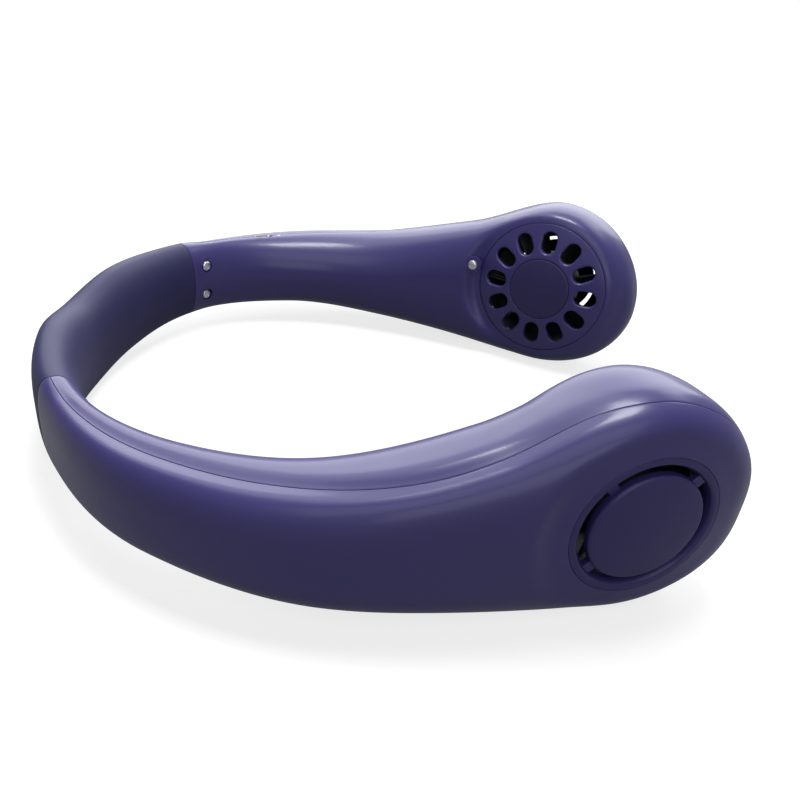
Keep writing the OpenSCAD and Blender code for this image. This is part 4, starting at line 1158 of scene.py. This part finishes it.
body_code = "4a4489"
shell_plastic = moulded_plastic("satin_indigo_plastic", body_code)
grille_plastic = moulded_plastic("satin_indigo_grille", body_code, 0.38, 0.45)
disc_plastic = moulded_plastic("satin_indigo_disc", "3f397a", 0.4, 0.1)
cap_plastic = moulded_plastic("matt_indigo_cap", "40396f", 0.44, 0.1)
button_plastic = moulded_plastic("satin_indigo_button", "3f397a", 0.4, 0.1)
band_rubber = soft_rubber("soft_indigo_rubber", "3b3a69")
# The rotor gets a dark grey-green instead of its pale colour: painted shade that stands in for the shade
# inside the fan
rotor_painted_shade = moulded_plastic("rotor_blades_in_painted_shade", "46504b", 0.32, 0.2)
duct_plastic = moulded_plastic("dark_duct_plastic", "3a3b3f", 0.5, 0.0)
tray_plastic = moulded_plastic("ivory_tray_plastic", "cfcfc8", 0.5, 0.0)
black_plastic = moulded_plastic("black_switch_plastic", "232327", 0.45, 0.0)
plunger_plastic = moulded_plastic("pale_plunger_plastic", "dcdcd8", 0.4, 0.1)
anchor_plastic = moulded_plastic("grey_anchor_nylon", "55555a", 0.55, 0.0)
screw_steel = metal("bright_screw_steel", "eef0f4", 0.2)
spring_steel = metal("blued_spring_steel", "a8adb5", 0.28)
shaft_steel = metal("ground_shaft_steel", "c8ccd0", 0.18)
port_steel = metal("plated_port_steel", "cfd2d6", 0.22)
contact_gilt = metal("contact_gilt", "e0b860", 0.2)
bush_bronze = metal("sintered_bronze", "b98a4a", 0.42)
core_steel = metal("core_steel", "767d86", 0.4)
magnet_ferrite = metal("dark_ferrite", "3a3d42", 0.6)
green_board = varnished_board("green_board_varnish")
copper_coil = enamelled_wire("enamelled_copper")
battery_foil = foil_pouch("battery_foil")
pad_foam = open_foam("black_foam")
red_wire = wire_cover("red_insulation", "b3242a")
black_wire = wire_cover("black_insulation", "1d1d20")
yellow_wire = wire_cover("yellow_insulation", "d8a820")
white_wire = wire_cover("white_insulation", "e2e2de")
light_lens_plastic = moulded_plastic("milky_lens", "dfe6f2", 0.3, 0.3)


def dress(name, paint):
    """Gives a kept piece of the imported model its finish."""
    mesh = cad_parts[name].data
    mesh.materials.clear()
    mesh.materials.append(paint)


def add(obj, paint, body, node):
    """Places a made piece: gives it its finish and its body, and hides the imported node it replaces."""
    obj.data.materials.append(paint)
    if body:
        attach(obj, body)
    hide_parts(node)


for word, side in (("right", -1), ("left", 1)):
    arm, rotor = word + "_arm", word + "_rotor"
    add(arm_shell(side, True), shell_plastic, arm, word + "_outer_shell")
    add(arm_shell(side, False), shell_plastic, arm, word + "_inner_shell")
    grille = make_mesh(word + "_grille_plate", *in_fan(side, outlet_grille()), weld=wide_weld)
    add(smooth(grille), grille_plastic, arm, word + "_outlet_grille")
    for label, parts, paint, body, node in (
            ("_cap_disc", grille_cap(), cap_plastic, arm, "_grille_cap"),
            ("_intake_disc", intake_cover(), disc_plastic, arm, "_intake_cover"),
            ("_rotor_blades", fan_rotor(), rotor_painted_shade, rotor, "_fan_rotor")):
        add(smooth(make_mesh(word + label, *in_fan(side, parts))), paint, body, word + node)
    fixings = make_mesh(word + "_pan_screws", *on_side(side, screws()))
    carve(fixings, [on_side(side, p) for p in screw_crosses()], "DIFFERENCE")
    add(smooth(fixings), screw_steel, arm, word + "_screws")

    # The band's pieces: the right half has the positive runs
    toward = -side
    start = spot(blend_start * toward, 0, blend_height) * MM
    end = spot(band_run * toward, 0, blend_height) * MM
    half_pieces = [("sleeve", sleeve_half(toward), band_rubber, "band_sleeve"),
                   ("strip", strip_half(toward), spring_steel, "band_spring_strip")]
    for label, rise, paint in (("red", -1.5, red_wire), ("black", -0.5, black_wire),
                               ("yellow", 0.5, yellow_wire), ("white", 1.5, white_wire)):
        half_pieces.append((label + "_wire", wire_half(toward, rise * wire_pitch), paint, "band_wires"))
    for label, parts, paint, node in half_pieces:
        piece = smooth(make_mesh(f"{word}_band_{label}", *parts))
        add(piece, paint, None, node)
        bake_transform(piece)

    for node, paint in (("band_anchor", anchor_plastic), ("fan_duct", duct_plastic),
                        ("motor_board", green_board), ("stator_core", core_steel),
                        ("stator_coils", copper_coil), ("bushes", bush_bronze),
                        ("motor_shaft", shaft_steel), ("rotor_magnet", magnet_ferrite),
                        ("battery", battery_foil), ("battery_pad", pad_foam),
                        ("battery_tray", tray_plastic), ("arm_wires", red_wire),
                        ("battery_wires", yellow_wire), ("motor_wires", black_wire)):
        dress(word + "_" + node, paint)

for node, paint in (("control_board", green_board), ("button_switch", black_plastic),
                    ("switch_plunger", plunger_plastic)):
    dress(node, paint)
for name, parts, matrix, paint, body, node in (
        ("button_cap", power_button(), button_matrix, button_plastic, "button", "power_button"),
        ("light_dome", light_lens(), light_matrix, light_lens_plastic, "left_arm", "charge_light_lens"),
        ("port_rim", port_shell(), port_matrix, port_steel, "left_arm", "charging_port"),
        ("port_tongue", port_tongue(), port_matrix, black_plastic, "left_arm", "charging_port"),
        ("port_contacts", port_contacts(), port_matrix, contact_gilt, "left_arm", "charging_port")):
    add(smooth(make_mesh(name, *mirrored(moved(parts, matrix)))), paint, body, node)

# Floor, studio light and camera. The camera sees the floor white, with the shadow kept faint;
# mirroring surfaces see that white at a lower share
floor_size = 60000
glow_growth = 1.6
mirror_share = 0.2
white = (1, 1, 1, 1)
black = (0, 0, 0, 1)
near_glow = (0.72, 0.72, 0.72, 1)
dark_floor = (0.1, 0.1, 0.11, 1)
pale_floor = (0.4, 0.4, 0.4, 1)
dark_sky = (0.065, 0.065, 0.076, 1)
floor = make_mesh("floor", np.array([[-1, -1, 0], [1, -1, 0], [1, 1, 0], [-1, 1, 0]]) * floor_size / 2,
                  [[0, 1, 2, 3]])
floor_paint = Paint("pale_floor", roughness=0.9, emission_strength=1.0, specular_ior_level=0.0)
seen = floor_paint.seen()
away = floor_paint.node("ShaderNodeVectorMath", {"operation": "LENGTH"}, {0: floor_paint.place}, out="Value")
glow = floor_paint.between(away * glow_growth, near_glow, white)
floor_paint.set("Base Color", floor_paint.between(seen, dark_floor, pale_floor))
floor_paint.set("Emission Color", floor_paint.between(seen, black, glow))
floor.data.materials.append(floor_paint.material)

cool_white = (0.97, 0.98, 1)
aim = (0, 0, 0.03)


def softbox(name, place, size, watts, colour, target=aim):
    """A flat lamp that faces its target; place and size are in metres."""
    light = bpy.data.lights.new(name, "AREA")
    light.shape = "RECTANGLE"
    light.size, light.size_y = size
    light.energy = watts
    light.color = colour
    obj = bpy.data.objects.new(name, light)
    bpy.context.scene.collection.objects.link(obj)
    obj.location = place
    obj.rotation_mode = "QUATERNION"
    obj.rotation_quaternion = (Vector(target) - Vector(place)).to_track_quat("-Z", "Y")


softbox("top_softbox", (0.02, 0.05, 1.15), (0.42, 0.24), 6.6, cool_white, (0, 0, 0))
softbox("left_softbox", (-0.5, 0.6, 1.05), (0.8, 0.8), 3, cool_white)
softbox("right_softbox", (0.75, 0.6, 0.9), (0.4, 0.4), 0.9, cool_white)
softbox("front_top_softbox", (0.1, -0.8, 0.8), (1.0, 0.6), 1.8, (0.98, 0.97, 1))
softbox("back_softbox", (0.1, 1.7, 0.95), (2.6, 1.5), 29, cool_white)
softbox("front_fill", (0.35, -1.1, 0.3), (0.6, 0.4), 0.9, (1, 1, 1))

world = bpy.data.worlds.new("studio")
bpy.context.scene.world = world
world.use_nodes = True
sky = Nodes(world.node_tree)
sky.link(sky.between(sky.seen(), dark_sky, white), sky.tree.nodes["Background"].inputs["Color"])

camera = bpy.data.objects.new("camera", bpy.data.cameras.new("camera"))
bpy.context.scene.collection.objects.link(camera)
azimuth, elevation, roll = (math.radians(a) for a in (camera_azimuth, camera_elevation, camera_roll))
camera.matrix_world = (Matrix.Translation(Vector(camera_target) * MM) @ Matrix.Rotation(azimuth, 4, "Z")
                       @ Matrix.Rotation(math.pi / 2 - elevation, 4, "X") @ Matrix.Rotation(roll, 4, "Z")
                       @ Matrix.Translation((0, 0, camera_distance * MM)))
camera.data.sensor_width = sensor_width
camera.data.lens = camera_lens
camera.data.clip_start, camera.data.clip_end = 0.01, 100
bpy.context.scene.camera = camera
bpy.context.scene.view_settings.view_transform = "Standard"
